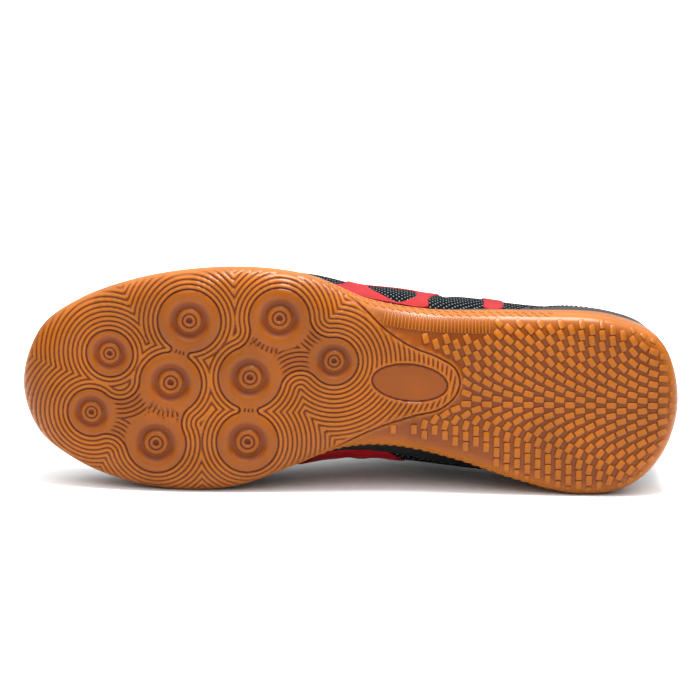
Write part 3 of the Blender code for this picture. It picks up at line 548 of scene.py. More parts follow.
@dataclass(frozen=True)
class GumRubber(Finish):
    """Natural gum rubber, pressed in a steel mould: warm amber, satin, with painted shade in its
    grooves and hollows.
    """

    def dress(self, tree: Tree, shader: Node) -> None:
        """Colours tops and grooves by the lightness with painted shade that each mesh carries, and
        mottles them.

        Args:
            tree: the material's node tree.
            shader: its shader.
        """
        tone = add_node(tree, "Attribute", {"attribute_name": "tone"}, {}).outputs["Fac"]
        # Painted shade: the ramp runs from the shaded colour of deep grooves at 0 to the lit colour
        # of tops at 1.
        stops = {0.0: "3C0A00", 0.3: "591F01", 0.6: "713402", 0.85: "814205", 1.0: "94510A"}
        colour = ramp(tree, tone, stops)
        cloud = ramp(tree, self.noise(tree, 26 * MM, 4.0), {0.3: "E0E0E0", 0.7: "FFFFFF"})
        values = {"data_type": "RGBA", "blend_type": "MULTIPLY", 0: 1.0}
        mixed = add_node(tree, "Mix", values, {6: colour, 7: cloud})
        tree.links.new(mixed.outputs[2], shader.inputs["Base Color"])
        self.varied(tree, shader, 9 * MM, 0.07)
        self.grain(tree, shader, 0.9 * MM, 0.3)


@dataclass(frozen=True)
class WovenMesh(Finish):
    """Polyester sandwich mesh, warp knitted: light knots in diamonds on a blue-black ground.

    The real knots stand about 1 mm apart. They are drawn coarser here, 1.8 mm apart along
    the weave and twice that across, which is as coarse as they need to be to show.
    """

    pitch: float = 1.8 * MM

    def dress(self, tree: Tree, shader: Node) -> None:
        """Sets the light knots in diamonds over the weave map, which is in metres.

        Args:
            tree: the material's node tree.
            shader: its shader.
        """
        flat = self.weave_map(tree)
        values = {"Scale": (1 / self.pitch, 0.5 / self.pitch, 1.0)}
        values["Rotation"] = (0.0, 0.0, math.radians(45))
        turned = add_node(tree, "Mapping", values, {"Vector": flat})
        values = {"voronoi_dimensions": "2D", "Scale": 1.0, "Randomness": 0.12}
        links = {"Vector": turned.outputs["Vector"]}
        cell = add_node(tree, "TexVoronoi", values, links).outputs["Distance"]
        stops = {0.09: "727C80", 0.18: "262C30", 0.26: "050709", 0.5: "010203"}
        colour = ramp(tree, cell, stops)
        tree.links.new(colour, shader.inputs["Base Color"])
        bump = add_node(tree, "Bump", {"Strength": 0.7, "Distance": 0.3 * MM}, {"Height": cell})
        bump.invert = True
        tree.links.new(bump.outputs["Normal"], shader.inputs["Normal"])


@dataclass(frozen=True)
class RibbedKnit(Finish):
    """Knitted or braided polyester: dull dark ribs that run along the weave map."""

    rib: float = 0.9 * MM
    light: str = "17181B"

    def dress(self, tree: Tree, shader: Node) -> None:
        """Crosses two slanted waves into a herringbone, for colour and bump.

        Args:
            tree: the material's node tree.
            shader: its shader.
        """
        flat = self.weave_map(tree)
        waves = []
        for angle in (0.9, -0.9):
            values = {"Rotation": (0.0, 0.0, angle), "Scale": (1 / self.rib,) * 3}
            turned = add_node(tree, "Mapping", values, {"Vector": flat}).outputs["Vector"]
            wave = add_node(tree, "TexWave", {"Scale": 0.31}, {"Vector": turned})
            waves.append(wave.outputs["Fac"])
        values = {"operation": "MULTIPLY"}
        both = add_node(tree, "Math", values, {0: waves[0], 1: waves[1]}).outputs["Value"]
        colour = ramp(tree, both, {0.0: self.colour, 1.0: self.light})
        tree.links.new(colour, shader.inputs["Base Color"])
        values = {"Strength": 0.6, "Distance": 0.3 * MM}
        bump = add_node(tree, "Bump", values, {"Height": both})
        tree.links.new(bump.outputs["Normal"], shader.inputs["Normal"])


@dataclass(frozen=True)
class GlossFilm(Finish):
    """Polyurethane film, heat pressed on the mesh: bright red, glossy, faintly rippled."""

    def dress(self, tree: Tree, shader: Node) -> None:
        """Adds a slow ripple in place of the fine grain, and slight colour drift.

        Args:
            tree: the material's node tree.
            shader: its shader.
        """
        stops = {0.35: "76060E", 0.7: self.colour}
        colour = ramp(tree, self.noise(tree, 18 * MM, 2.0), stops)
        tree.links.new(colour, shader.inputs["Base Color"])
        self.grain(tree, shader, 3.5 * MM, 0.35)


@dataclass(frozen=True)
class SmoothSynthetic(Finish):
    """Coated microfibre, embossed by a roller: near black, satin, with a fine pore grain."""

    def dress(self, tree: Tree, shader: Node) -> None:
        """Adds the pore grain and a little scuffing in the gloss."""
        self.varied(tree, shader, 7 * MM, 0.1)
        self.grain(tree, shader, 1.1 * MM, 0.45)


FINISHES = {
    "rubber": GumRubber(
        "gum_rubber_moulded", "gum_rubber", "713402", 0.31, 1.52, 0.0, 0.2, specular=0.17
    ),
    "mesh": WovenMesh("polyester_mesh_knitted", "black_mesh", "0A0C12", 0.85, specular=0.04),
    "film": GlossFilm(
        "polyurethane_film_pressed", "red_film", "8C0810", 0.38, coat=0.02, specular=0.08
    ),
    "synthetic": SmoothSynthetic(
        "microfibre_coated", "black_synthetic", "070708", 0.42, specular=0.35
    ),
    "lining": RibbedKnit("polyester_lining_knitted", "dark_lining", "08090B", 0.9, specular=0.12),
    "cord": RibbedKnit("polyester_lace_braided", "black_lace", "060607", 0.78, specular=0.2),
    "floor": Finish("white_paper_sheet", "", "E6E6E6", 0.9, specular=0.2),
}
MATERIALS = {key: finish.build() for key, finish in FINISHES.items()}


def make_piece(
    name: str,
    points: Array,
    faces: Array,
    finish: str,
    replaces: tuple = (),
    tone: Array | None = None,
    weave: Array | None = None,
    smooth_angle: float | None = None,
) -> bpy.types.Object:
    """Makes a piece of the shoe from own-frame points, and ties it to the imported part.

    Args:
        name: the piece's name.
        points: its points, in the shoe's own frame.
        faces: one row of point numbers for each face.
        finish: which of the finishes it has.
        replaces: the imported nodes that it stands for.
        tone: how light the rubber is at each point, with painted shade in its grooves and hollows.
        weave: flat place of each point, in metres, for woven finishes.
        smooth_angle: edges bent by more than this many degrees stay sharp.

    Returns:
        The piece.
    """
    mesh = bpy.data.meshes.new(name)
    faces = faces.tolist() if isinstance(faces, np.ndarray) else faces
    mesh.from_pydata(PLACE.place(points).tolist(), [], faces)
    mesh.validate()
    mesh.shade_smooth()
    if smooth_angle is not None:
        mesh.set_sharp_from_angle(angle=math.radians(smooth_angle))
    if tone is not None:
        mesh.attributes.new("tone", "FLOAT", "POINT").data.foreach_set(
            "value", tone.astype(np.float32)
        )
    if weave is not None:
        corner = np.zeros(len(mesh.loops), np.int64)
        mesh.loops.foreach_get("vertex_index", corner)
        layer = mesh.uv_layers.new(name="weave")
        layer.data.foreach_set("uv", weave[corner].astype(np.float32).ravel())
    mesh.materials.append(MATERIALS[finish])
    made = bpy.data.objects.new(name, mesh)
    bpy.context.scene.collection.objects.link(made)
    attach(made, "root")
    if replaces:
        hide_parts(*replaces)
    LOG.info("%s: %d points", name, len(points))
    return made


def grid_faces(rows: int, columns: int, closed: bool = False, flip: bool = False) -> Array:
    """Four-cornered faces of a grid whose points are stored row by row.

    Args:
        rows: how many rows of points.
        columns: points in each row.
        closed: whether each row closes on itself.
        flip: whether the faces look the other way.

    Returns:
        One row of point numbers for each face.
    """
    r, c = np.meshgrid(np.arange(rows - 1), np.arange(columns - (not closed)), indexing="ij")
    after = (c + 1) % columns
    quads = [r * columns + c, r * columns + after, (r + 1) * columns + after, (r + 1) * columns + c]
    quads = np.stack([q.ravel() for q in quads], axis=1)
    return quads[:, ::-1] if flip else quads


def halved(quads: Array) -> Array:
    """Four-cornered faces as triangles."""
    return np.vstack([quads[:, [0, 1, 2]], quads[:, [0, 2, 3]]])


def tube_faces(count: int, rows: int, sides: int) -> list:
    """Faces of so many closed tubes, stored one after another, with both end caps.

    Args:
        count: how many tubes.
        rows: rings of points along each tube.
        sides: points in each ring.

    Returns:
        The faces.
    """
    found = []
    for first in range(0, count * rows * sides, rows * sides):
        last = first + (rows - 1) * sides
        found += (grid_faces(rows, sides, closed=True) + first).tolist()
        found += [tuple(range(first, first + sides))[::-1], tuple(range(last, last + sides))]
    return found


@dataclass
class CutMesh:
    """A flat mesh of triangles whose points carry measures, cut along their level lines."""

    table: dict
    triangles: Array

    def cut(self, name: str, level: float, live: str, snap: float = 0.06 * MM) -> None:
        """Splits every live triangle that a level line of one measure crosses.

        Args:
            name: the measure.
            level: its value on the line.
            live: a measure that is above 0 where the cut is wanted.
            snap: points this near the level are taken to lie on it.
        """
        value = self.table[name]
        value[np.abs(value - level) < snap] = level
        side = np.sign(value - level).astype(int)[self.triangles]
        active = (side.min(axis=1) < 0) & (side.max(axis=1) > 0)
        active &= (self.table[live][self.triangles] > 0).any(axis=1)
        work, side = self.triangles[active], side[active]
        if not len(work):
            return
        pairs = np.stack([work, np.roll(work, -1, axis=1)], axis=2)
        crossed = side * np.roll(side, -1, axis=1) < 0
        keys = np.sort(pairs[crossed], axis=1)
        unique, where = np.unique(keys, axis=0, return_inverse=True)
        a, b = unique[:, 0], unique[:, 1]
        share = (level - value[a]) / (value[b] - value[a])
        first = len(value)
        for key, column_values in self.table.items():
            between = column_values[a] + (column_values[b] - column_values[a]) * share
            if key == name:
                between[:] = level
            self.table[key] = np.concatenate([column_values, between])
        new = np.full(crossed.shape, -1)
        new[crossed] = first + where.ravel()
        twice = crossed.sum(axis=1) == 2
        made = [self.triangles[~active]]
        for k in range(3):
            corner = [work[:, (k + i) % 3] for i in range(3)]
            lone = twice & crossed[:, k] & crossed[:, (k + 2) % 3]
            p, q = new[:, k], new[:, (k + 2) % 3]
            made += [
                np.stack(parts, axis=1)[lone]
                for parts in ((corner[0], p, q), (p, corner[1], corner[2]), (p, corner[2], q))
            ]
            once = ~twice & crossed[:, k]
            made += [
                np.stack(parts, axis=1)[once]
                for parts in ((corner[0], p, corner[2]), (p, corner[1], corner[2]))
            ]
        self.triangles = np.concatenate(made)

    def keep(self, wanted: Array) -> None:
        """Drops the triangles that aren't wanted, and the points that only they had.

        Args:
            wanted: True for each triangle that stays.
        """
        self.triangles = self.triangles[wanted]
        used, where = np.unique(self.triangles, return_inverse=True)
        self.triangles = where.reshape(-1, 3)
        self.table = {key: values[used] for key, values in self.table.items()}


@dataclass(frozen=True)
class ShoeForm:
    """The shoe's sizes and the surfaces that they give, as in the part."""

    sole_length: float = 290 * MM
    ball_width: float = 99.5 * MM
    instep_height: float = 104 * MM
    collar_back_height: float = 92 * MM
    toe_box_height: float = 49 * MM
    toe_spring: float = 14 * MM
    arch_rise: float = 1.5 * MM
    heel_bevel: float = 2.0 * MM
    cup_wall: float = 3.0 * MM
    heel_stack: float = 13.0 * MM
    ball_stack: float = 8.0 * MM
    heel_rim_height: float = 25.0 * MM
    ball_rim_height: float = 18.0 * MM
    spring_start: float = 0.70
    arch_start: float = 0.28
    arch_end: float = 0.54
    bevel_end: float = 0.07
    edge_width_size: float = 11.0 * MM
    edge_height_size: float = 8.5 * MM
    upper_wall: float = 2.0 * MM
    collar_pad: float = 4.5 * MM
    pad_end: float = 0.345
    pad_fade: float = 0.08
    clearance: float = 0.3 * MM
    rim_clearance: float = 0.5 * MM
    heel_fan: float = 0.13
    toe_fan: float = 0.86
    ridge_start: float = 0.34
    throat_top: float = 0.375
    throat_round: float = 0.64
    vamp_point: float = 0.69
    throat_half: float = 14 * MM
    bulge_up: float = 0.35
    fullness: float = 0.60

    def in_plan(self, spots: list) -> Array:
        """Plan positions of spots given as shares of length and ball width."""
        return np.array([(s.along * self.sole_length, s.across * self.ball_width) for s in spots])

    def spine_at(self, along: Array) -> Array:
        """Plan position of the spine, which stays between the two fans' centres.

        Args:
            along: share of the length of each section.

        Returns:
            Plan points.
        """
        held = np.clip(along, self.heel_fan, self.toe_fan)
        across = column(SPINE, "across", held)
        return np.stack([held * self.sole_length, across * self.ball_width], axis=-1)

    def ray_at(self, around: Array) -> Array:
        """Unit plan direction of each section, from the spine outwards.

        Args:
            around: signed share of the length of each section.

        Returns:
            The directions.
        """
        along, side = np.abs(around), np.where(around < 0, -1.0, 1.0)
        heel = np.clip(along / self.heel_fan, 0, 1) * math.pi / 2
        toe = fade(along, self.toe_fan, 1) * math.pi / 2
        out = [np.sin(toe) - np.cos(heel), side * np.sin(heel) * np.cos(toe)]
        return np.stack(out, -1)

    def toe_lift(self, along: Array) -> Array:
        """How far the toe spring lifts the sole off the ground."""
        return self.toe_spring * fade(along, self.spring_start, 1) ** 2

    def ground_lift(self, along: Array) -> Array:
        """Height of the sole's underside over the ground it would stand on.

        Args:
            along: share of the length of each section.

        Returns:
            The heights.
        """
        arch = fade(along, self.arch_start, self.arch_end)
        back = np.clip(1 - along / self.bevel_end, 0, 1)
        lift = self.toe_lift(along) + self.arch_rise * np.sin(math.pi * arch) ** 2
        return lift + self.heel_bevel * back**2

    def floor_height(self, along: Array) -> Array:
        """Height of the cup's floor.

        Args:
            along: share of the length of each section.

        Returns:
            The heights.
        """
        stack = column(SOLE_ROWS, "stack", along)
        rise = self.ball_stack + (self.heel_stack - self.ball_stack) * stack
        return self.ground_lift(along) + rise

    def rim_height(self, along: Array) -> Array:
        """Height of the cup's rim.

        Args:
            along: share of the length of each section.

        Returns:
            The heights.
        """
        share = column(SOLE_ROWS, "rim", along)
        rise = (self.heel_rim_height - self.ball_rim_height) * share
        return self.toe_lift(along) + self.ball_rim_height + rise

    def edge_height(self, along: Array) -> Array:
        """How high the sole's rounded edge climbs."""
        return self.edge_height_size * column(SOLE_ROWS, "edge_height", along)

    def edge_width(self, along: Array) -> Array:
        """How far in the sole's rounded edge starts."""
        return self.edge_width_size * column(SOLE_ROWS, "edge_width", along)

    def edge_top(self, along: Array) -> Array:
        """Height at which the rounded edge turns into the wall."""
        return self.ground_lift(along) + self.edge_height(along)

    def underside(self, plan: Array, from_edge: Array) -> Array:
        """Height of the underside before any groove is cut, by distance from the edge.

        Args:
            plan: plan points.
            from_edge: how far inside the outline.

        Returns:
            The heights.
        """
        along = plan[:, 0] / self.sole_length
        inside = np.clip(from_edge / self.edge_width(along), 0, 1)
        rise = 1 - np.sqrt(np.clip(1 - (1 - inside) ** 2, 0, 1))
        return self.ground_lift(along) + self.edge_height(along) * rise

    def height_scale(self, along: Array) -> Array:
        """Height that the upper's height shares stand for, from the heel to the toe.

        Args:
            along: share of the length of each section.

        Returns:
            The heights.
        """
        share = np.clip(along / self.heel_fan, 0, 1)
        back = self.collar_back_height / UPPER_ROWS[0].top_height
        front = fade(along, self.throat_round, self.toe_fan)
        toe = self.toe_box_height / UPPER_ROWS[-1].top_height
        return (back * (1 - share) + self.instep_height * share) * (1 - front) + toe * front

    def upper_surface(self, around: Array, up: Array) -> Array:
        """Outer face of the closed last shape.

        Args:
            around: signed share of the length of each section.
            up: from 0 at the rim to 1 at the section's top.

        Returns:
            Points of the face.
        """
        around, up = np.broadcast_arrays(np.asarray(around, float), np.asarray(up, float))
        along = np.abs(around)
        reach = UPPER_RING.reach(around)
        medial = column(UPPER_ROWS, "bulge_medial", along)
        lateral = column(UPPER_ROWS, "bulge_lateral", along)
        bulge = self.ball_width * np.where(around < 0, medial, lateral)
        wide = self.instep_height * column(UPPER_ROWS, "bulge_height", along)
        top = self.height_scale(along) * column(UPPER_ROWS, "top_height", along)
        inner = reach * np.clip(column(UPPER_ROWS, "top_in", along), 0, 1)
        inner = np.where(along >= self.ridge_start, reach, inner)
        lean = np.radians(np.clip(column(UPPER_ROWS, "lean", along), 0, 90))
        foot = self.spine_at(along)[..., 0] + self.ray_at(around)[..., 0] * reach
        start = self.rim_height(foot / self.sole_length) + self.rim_clearance
        low = np.clip(up / self.bulge_up, 0, 1)
        inward = bezier(0, -0.6 * bulge, -bulge, -bulge, low)
        climb = wide - start
        height = bezier(start, start + 0.2 * climb, wide - 0.5 * climb, wide, low)
        high = fade(up, self.bulge_up, 1)
        across, climb = inner + bulge, top - wide
        above = up > self.bulge_up
        pull = inner - self.fullness * across * np.cos(lean)
        turned_in = bezier(-bulge, -bulge, pull, inner, high)
        pull = top - self.fullness * climb * np.sin(lean)
        climbed = bezier(wide, wide + self.fullness * climb, pull, top, high)
        inward = np.where(above, turned_in, inward)
        height = np.where(above, climbed, height)
        plan = self.spine_at(along) + self.ray_at(around) * (reach - inward)[..., None]
        return np.concatenate([plan, height[..., None]], axis=-1)

    def upper_normal(self, around: Array, up: Array) -> Array:
        """Unit normal of the last shape, pointing out of the shoe.

        Args:
            around: signed share of the length of each section.
            up: from 0 at the rim to 1 at the section's top.

        Returns:
            The normals.
        """
        around, up = np.broadcast_arrays(np.asarray(around, float), np.asarray(up, float))
        step, pole = 2e-3, 0.93
        near_pole = (np.abs(around) > self.toe_fan - 0.01) & (up > pole)
        up = np.where(near_pole, pole, up)
        left, right = np.clip(around - step, -1, 1), np.clip(around + step, -1, 1)
        low, high = np.clip(up - step, 0, 1), np.clip(up + step, 0, 1)
        sideways = self.upper_surface(right, up) - self.upper_surface(left, up)
        upwards = self.upper_surface(around, high) - self.upper_surface(around, low)
        normal = unit(np.cross(upwards, sideways))
        normal[near_pole] = (0, 0, 1)
        on_ridge = (up > 0.999) & (np.abs(around) >= self.ridge_start)
        normal[on_ridge, 1] = 0
        return unit(normal)

    def throat_half_width(self, along: Array) -> Array:
        """Half the gap between the throat's edges, rounded off at the vamp point.

        Args:
            along: share of the length of each section.

        Returns:
            Half the gap at each section.
        """
        taper = np.interp(along, [self.throat_top, self.throat_round], [1.1, 0.8])
        end = fade(along, self.throat_round, self.vamp_point)
        return self.throat_half * taper * np.sqrt(1 - end**2)

    def up_at_distance(self, around: Array, distance: Array) -> Array:
        """How far up each section lies at a distance from the spine.

        Args:
            around: signed share of the length of each section.
            distance: how far from the spine, in plan.

        Returns:
            How far up, from 0 to 1.
        """
        tries = np.linspace(self.bulge_up, 1, 160)
        surface = self.upper_surface(around[:, None], tries[None])
        middle = self.spine_at(np.abs(around))[:, None]
        away = np.linalg.norm(surface[..., :2] - middle, axis=2)
        return np.array([np.interp(-d, -row, tries) for d, row in zip(distance, away)])

    def up_below(self, around: Array, high: Array, length: Array | float) -> Array:
        """How far up each section lies at a length down its surface from a place on it.

        Args:
            around: signed share of the length of each section.
            high: how far up each starts.
            length: how far down it goes.

        Returns:
            How far up, from 0 to 1.
        """
        found = []
        for a, top, drop in zip(around, high, np.broadcast_to(length, high.shape)):
            tries = np.linspace(top, self.bulge_up / 2, 120)
            run = walked(self.upper_surface(a, tries))
            found.append(float(np.interp(drop, run[1:], tries[1:])))
        return np.array(found)

    def up_at_height(self, around: Array, height: Array) -> Array:
        """How far up each section lies at a height.

        Args:
            around: signed share of the length of each section.
            height: the height at each.

        Returns:
            How far up, from 0 to 1.
        """
        tries = np.linspace(self.bulge_up, 1, 160)
        heights = self.upper_surface(around[:, None], tries[None])[..., 2]
        return np.array([np.interp(z, row, tries) for z, row in zip(height, heights)])

    def top_edge(self, around: Array) -> Array:
        """How far up each section of the upper ends: collar, throat or ridge.

        Args:
            around: signed share of the length of each section.

        Returns:
            How far up, from 0 to 1.
        """
        along = np.abs(around)
        collar = self.height_scale(along) * column(UPPER_ROWS, "collar", along)
        at_collar = np.where(along < self.heel_fan, 1.0, self.up_at_height(around, collar))
        at_throat = self.up_at_distance(around, self.throat_half_width(along))
        edge = np.where(along < self.throat_top - 1e-9, at_collar, at_throat)
        return np.where(along > self.vamp_point - 1e-9, 1.0, edge)

    def wall_thickness(self, around: Array, share: Array) -> Array:
        """Thickness of the upper's wall: padded inside the collar, thin elsewhere.

        Args:
            around: signed share of the length of each section.
            share: how far up to the section's edge.

        Returns:
            The thicknesses.
        """
        collar = np.clip((self.pad_end - np.abs(around)) / self.pad_fade, 0, 1)
        pad = np.interp(share, [0, 0.45, 0.7, 0.93, 1.0], [0, 0, 1, 0.9, 0.35])
        return self.upper_wall + self.collar_pad * collar * pad


FORM = ShoeForm()


class Ring:
    """A closed plan line, read as its distance from the spine along each ray."""

    READ_AT = np.linspace(-1, 1, 721)

    def __init__(self, line: Array) -> None:
        """Measures the line along each ray.

        Args:
            line: the line's points in order.
        """
        self.line = line
        origin, ray = FORM.spine_at(np.abs(self.READ_AT)), FORM.ray_at(self.READ_AT)
        start, piece = line[None], (np.roll(line, -1, axis=0) - line)[None]
        to = start - origin[:, None]
        cross = ray[:, None, 0] * piece[..., 1] - ray[:, None, 1] * piece[..., 0]
        cross = np.where(np.abs(cross) < 1e-15, 1e-15, cross)
        far = (to[..., 0] * piece[..., 1] - to[..., 1] * piece[..., 0]) / cross
        share = (to[..., 0] * ray[:, None, 1] - to[..., 1] * ray[:, None, 0]) / cross
        hit = (share >= -1e-9) & (share <= 1 + 1e-9) & (far > 0)
        self.reaches = np.where(hit, far, np.inf).min(axis=1)

    def reach(self, around: Array) -> Array:
        """Distance from the spine to the line at each section."""
        return np.interp(around, self.READ_AT, self.reaches)

    def inset(self, width: float) -> "Ring":
        """The ring that runs a width inside this one."""
        return Ring(self.line + inward_normals(self.line) * width)

    def at(self, around: Array, rule: Callable, inset: Array | float = 0.0) -> Array:
        """Points where each ray meets the ring, at heights that a rule gives.

        Args:
            around: signed share of the length of each section.
            rule: height by share of the length.
            inset: how far inside the ring, along the ray.

        Returns:
            The points.
        """
        away = (self.reach(around) - inset)[..., None]
        plan = FORM.spine_at(np.abs(around)) + FORM.ray_at(around) * away
        height = rule(plan[..., 0] / FORM.sole_length)
        return np.concatenate([plan, height[..., None]], axis=-1)


SOLE_RING = Ring(closed_curve(FORM.in_plan(OUTLINE), 420))
CUP_RING = SOLE_RING.inset(FORM.cup_wall)
UPPER_RING = CUP_RING.inset(FORM.clearance)
INSOLE_RING = UPPER_RING.inset(FORM.upper_wall + FORM.clearance)


def even_around(count: int) -> Array:
    """Sections that stand at even steps along the sole's outline.

    Args:
        count: how many.

    Returns:
        Their signed shares of the length.
    """
    tries = np.linspace(-1, 1, 4001)
    run = walked(SOLE_RING.at(tries, FORM.edge_top))
    at = np.linspace(0, run[-1], count, endpoint=False)
    return np.interp(at, run, tries)


class PodRow(NamedTuple):
    """A pod's surface: share of the bowl's radius, depth as a share of the bowl's, and lightness
    with painted shade, darker where it sinks deeper.
    """

    out: float
    deep: float
    tone: float


# The last column is painted shade: each ring is drawn darker where the pod sinks deeper and lighter
# on its crests.
POD_ROWS = [
    PodRow(*row)
    for row in (
        (1.10, 0.00, 0.84), (1.02, 0.03, 0.84), (0.96, 0.14, 0.78), (0.89, 0.42, 0.66),
        (0.81, 0.76, 0.56), (0.74, 0.95, 0.48), (0.67, 1.00, 0.44), (0.62, 0.96, 0.47),
        (0.575, 0.74, 0.60), (0.53, 0.46, 0.80), (0.48, 0.27, 0.95), (0.43, 0.20, 1.00),
        (0.38, 0.24, 0.88), (0.355, 0.42, 0.42), (0.32, 0.52, 0.26), (0.285, 0.42, 0.42),
        (0.26, 0.22, 0.90), (0.21, 0.17, 1.00), (0.165, 0.24, 0.85), (0.14, 0.46, 0.36),
        (0.105, 0.60, 0.18), (0.06, 0.64, 0.18),
    )
]


class TickRow(NamedTuple):
    """Short notches between two pods: the pods' numbers, how many and how long."""

    first: int
    second: int
    count: int
    length: float
    pitch: float


TICK_ROWS = [
    TickRow(*row)
    for row in (
        (3, 4, 7, 2.7 * MM, 2.1 * MM), (5, 6, 6, 2.9 * MM, 2.1 * MM),
        (2, 3, 3, 1.9 * MM, 1.7 * MM), (6, 7, 3, 1.9 * MM, 1.7 * MM),
    )
]


@dataclass
class Tread:
    """The underside of the sole: rippled forefoot plate, pods, oval and recessed heel."""

    around_count: int = 560
    rim_shares: tuple = (0, 0.015, 0.05, 0.1, 0.17, 0.25, 0.34, 0.44, 0.54, 0.64, 0.75, 0.87, 1)
    plate_step: float = 0.9 * MM
    heel_step: float = 2.2 * MM
    groove_pitch: float = 2.05 * MM
    groove_width: float = 1.2 * MM
    groove_depth: float = 0.75 * MM
    line_width: float = 1.25 * MM
    line_depth: float = 0.95 * MM
    clusters: tuple = (
        ((0,), 9.0 * MM),
        ((1, 3, 4), 9.0 * MM),
        ((2, 3), 1.55 * MM),
        ((5, 8, 6), 9.0 * MM),
        ((6, 7), 1.55 * MM),
    )
    big_pod: float = 13.7 * MM
    bowl: float = 9.4 * MM
    bowl_depth: float = 1.7 * MM
    small_share: float = 0.87
    pod_steps: int = 72
    tick_half: float = 0.55 * MM
    oval_length: float = 33.2 * MM
    oval_width: float = 16.4 * MM
    oval_tilt: float = math.radians(-5)
    oval_depth: float = 0.5 * MM
    heel_depth: float = 0.8 * MM
    rim_fade: tuple = (0.5 * MM, 2.4 * MM)
    plate_fade: tuple = (1.1 * MM, 1.9 * MM)
    ripple_fade: tuple = (0.4 * MM, 1.0 * MM)
    disc_fade: tuple = (0.3 * MM, 1.4 * MM)
    tick_fade: tuple = (0.7 * MM, 1.1 * MM)
    oval_fade: tuple = (1.0 * MM, 1.7 * MM)
    line_fade: tuple = (0.5 * MM, 3.0 * MM)
    heel_fade: tuple = (0.7 * MM, 1.9 * MM)
    heel_rim_fade: tuple = (1.5 * MM, 7.0 * MM)
    near_line: float = 4 * MM
    disc_tone: float = 0.86
    oval_shade: float = 0.3
    # Painted shade: how much darker the heel's recess between the bricks, the ripple grooves and
    # the notches are drawn.
    heel_painted_shade: float = 0.38
    groove_painted_shade: float = 0.72
    tick_painted_shade: float = 0.95
    discs: Array = field(init=False)
    plate_line: Array = field(init=False)
    plate_loop: Array = field(init=False)
    ticks: Array = field(init=False)

    def __post_init__(self) -> None:
        """Works out the pods' circles, the plate's edge and the notches between pods."""
        radii = np.array([pod.radius for pod in PODS]) * self.big_pod
        self.discs = np.column_stack([FORM.in_plan(PODS), radii])
        self.plate_line = open_curve(FORM.in_plan(PLATE_EDGE), 120)
        corners = [Spot(0.6, -0.4), Spot(1.2, -0.4), Spot(1.2, 1.4), Spot(0.57, 1.4)]
        self.plate_loop = np.vstack([self.plate_line, FORM.in_plan(corners)])
        ticks = []
        for row in TICK_ROWS:
            start, end = self.discs[row.first], self.discs[row.second]
            run = end[:2] - start[:2]
            gap = np.linalg.norm(run) - start[2] - end[2]
            lean, out = math.atan2(run[1], run[0]), start[2] + gap / 2
            for k in range(row.count):
                turn = lean + (k - (row.count - 1) / 2) * row.pitch / out
                way = np.array([math.cos(turn), math.sin(turn)])
                centre = start[:2] + way * out
                ticks.append([centre - way * row.length / 2, centre + way * row.length / 2])
        self.ticks = np.array(ticks)

    def plate_distance(self, plan: Array) -> Array:
        """Signed distance to the plate's edge, above 0 on the plate."""
        away = distance_to(self.plate_line, plan, False)
        return np.where(inside_loop(self.plate_loop, plan), away, -away)

    def tick_distance(self, plan: Array) -> Array:
        """Distance from the notches' axes, growing square round their ends.

        Args:
            plan: plan points.

        Returns:
            The distances.
        """
        found = np.full(len(plan), 1.0)
        for start, end in self.ticks:
            length = np.linalg.norm(end - start)
            way = (end - start) / length
            away = plan - (start + end) / 2
            along = np.abs(away @ way) - length / 2 + self.tick_half
            aside = np.abs(away[:, 1] * way[0] - away[:, 0] * way[1])
            found = np.minimum(found, np.maximum(along, aside))
        return found

    def oval_distance(self, plan: Array) -> Array:
        """Signed distance to the blank oval's edge, below 0 inside it.

        Args:
            plan: plan points.

        Returns:
            The distances.
        """
        away = plan - FORM.in_plan([OVAL_CENTRE])[0]
        turn, lean = math.cos(self.oval_tilt), math.sin(self.oval_tilt)
        long = away[:, 0] * turn - away[:, 1] * lean
        short = away[:, 0] * lean + away[:, 1] * turn
        half = np.array([self.oval_length / 2, self.oval_width / 2])
        out = np.hypot(long / half[0], short / half[1])
        slope = np.hypot(long / half[0] ** 2, short / half[1] ** 2)
        return out * (out - 1) / np.maximum(slope, 1e-6)

    def measures(self, plan: Array) -> dict:
        """Every measure that the grooves follow, at plan points.

        Args:
            plan: plan points.

        Returns:
            The measures by name.
        """
        rim = distance_to(SOLE_RING.line, plan, True)
        plate = self.plate_distance(plan)
        ripple = np.full(len(plan), np.inf)
        for members, fillet in self.clusters:
            shape = joined_discs(plan, self.discs[list(members)], fillet)
            ripple = np.minimum(ripple, shape)
        away = np.linalg.norm(plan[:, None] - self.discs[None, :, :2], axis=2)
        disc = (away - self.discs[None, :, 2]).min(axis=1)
        oval = self.oval_distance(plan)
        tick = self.tick_distance(plan)
        shown = fade(rim, *self.rim_fade) * fade(plate, *self.plate_fade)
        between = np.maximum(fade(ripple, *self.ripple_fade), fade(disc, *self.disc_fade))
        clear = fade(oval, *self.oval_fade) * fade(tick, *self.tick_fade)
        return {
            "x": plan[:, 0],
            "y": plan[:, 1],
            "base": FORM.underside(plan, rim),
            "ripple": ripple,
            "plate": plate,
            "oval": oval,
            "tick": tick,
            "line_on": shown,
            "ripple_on": shown * between * clear,
            "plate_on": fade(rim, *self.line_fade) * (np.abs(plate) < self.near_line),
            "oval_on": (np.abs(oval) < self.near_line).astype(float),
            "heel_on": fade(-plate, *self.heel_fade) * fade(rim, *self.heel_rim_fade),
            # The pods' own lightness, with painted shade in their bowls, is filled in later.
            "lathe": np.zeros(len(plan)),
            "lathe_painted_shade": np.ones(len(plan)),
        }

    def rim_rows(self, around: Array) -> Array:
        """Plan points of the rounded edge, in rows from the outline inwards.

        Args:
            around: signed share of the length of each section.

        Returns:
            The rows.
        """
        rows = []
        for share in self.rim_shares:
            width = FORM.edge_width(SOLE_RING.at(around, FORM.edge_top)[:, 0] / FORM.sole_length)
            rows.append(SOLE_RING.at(around, FORM.edge_top, width * share)[:, :2])
        return np.array(rows)

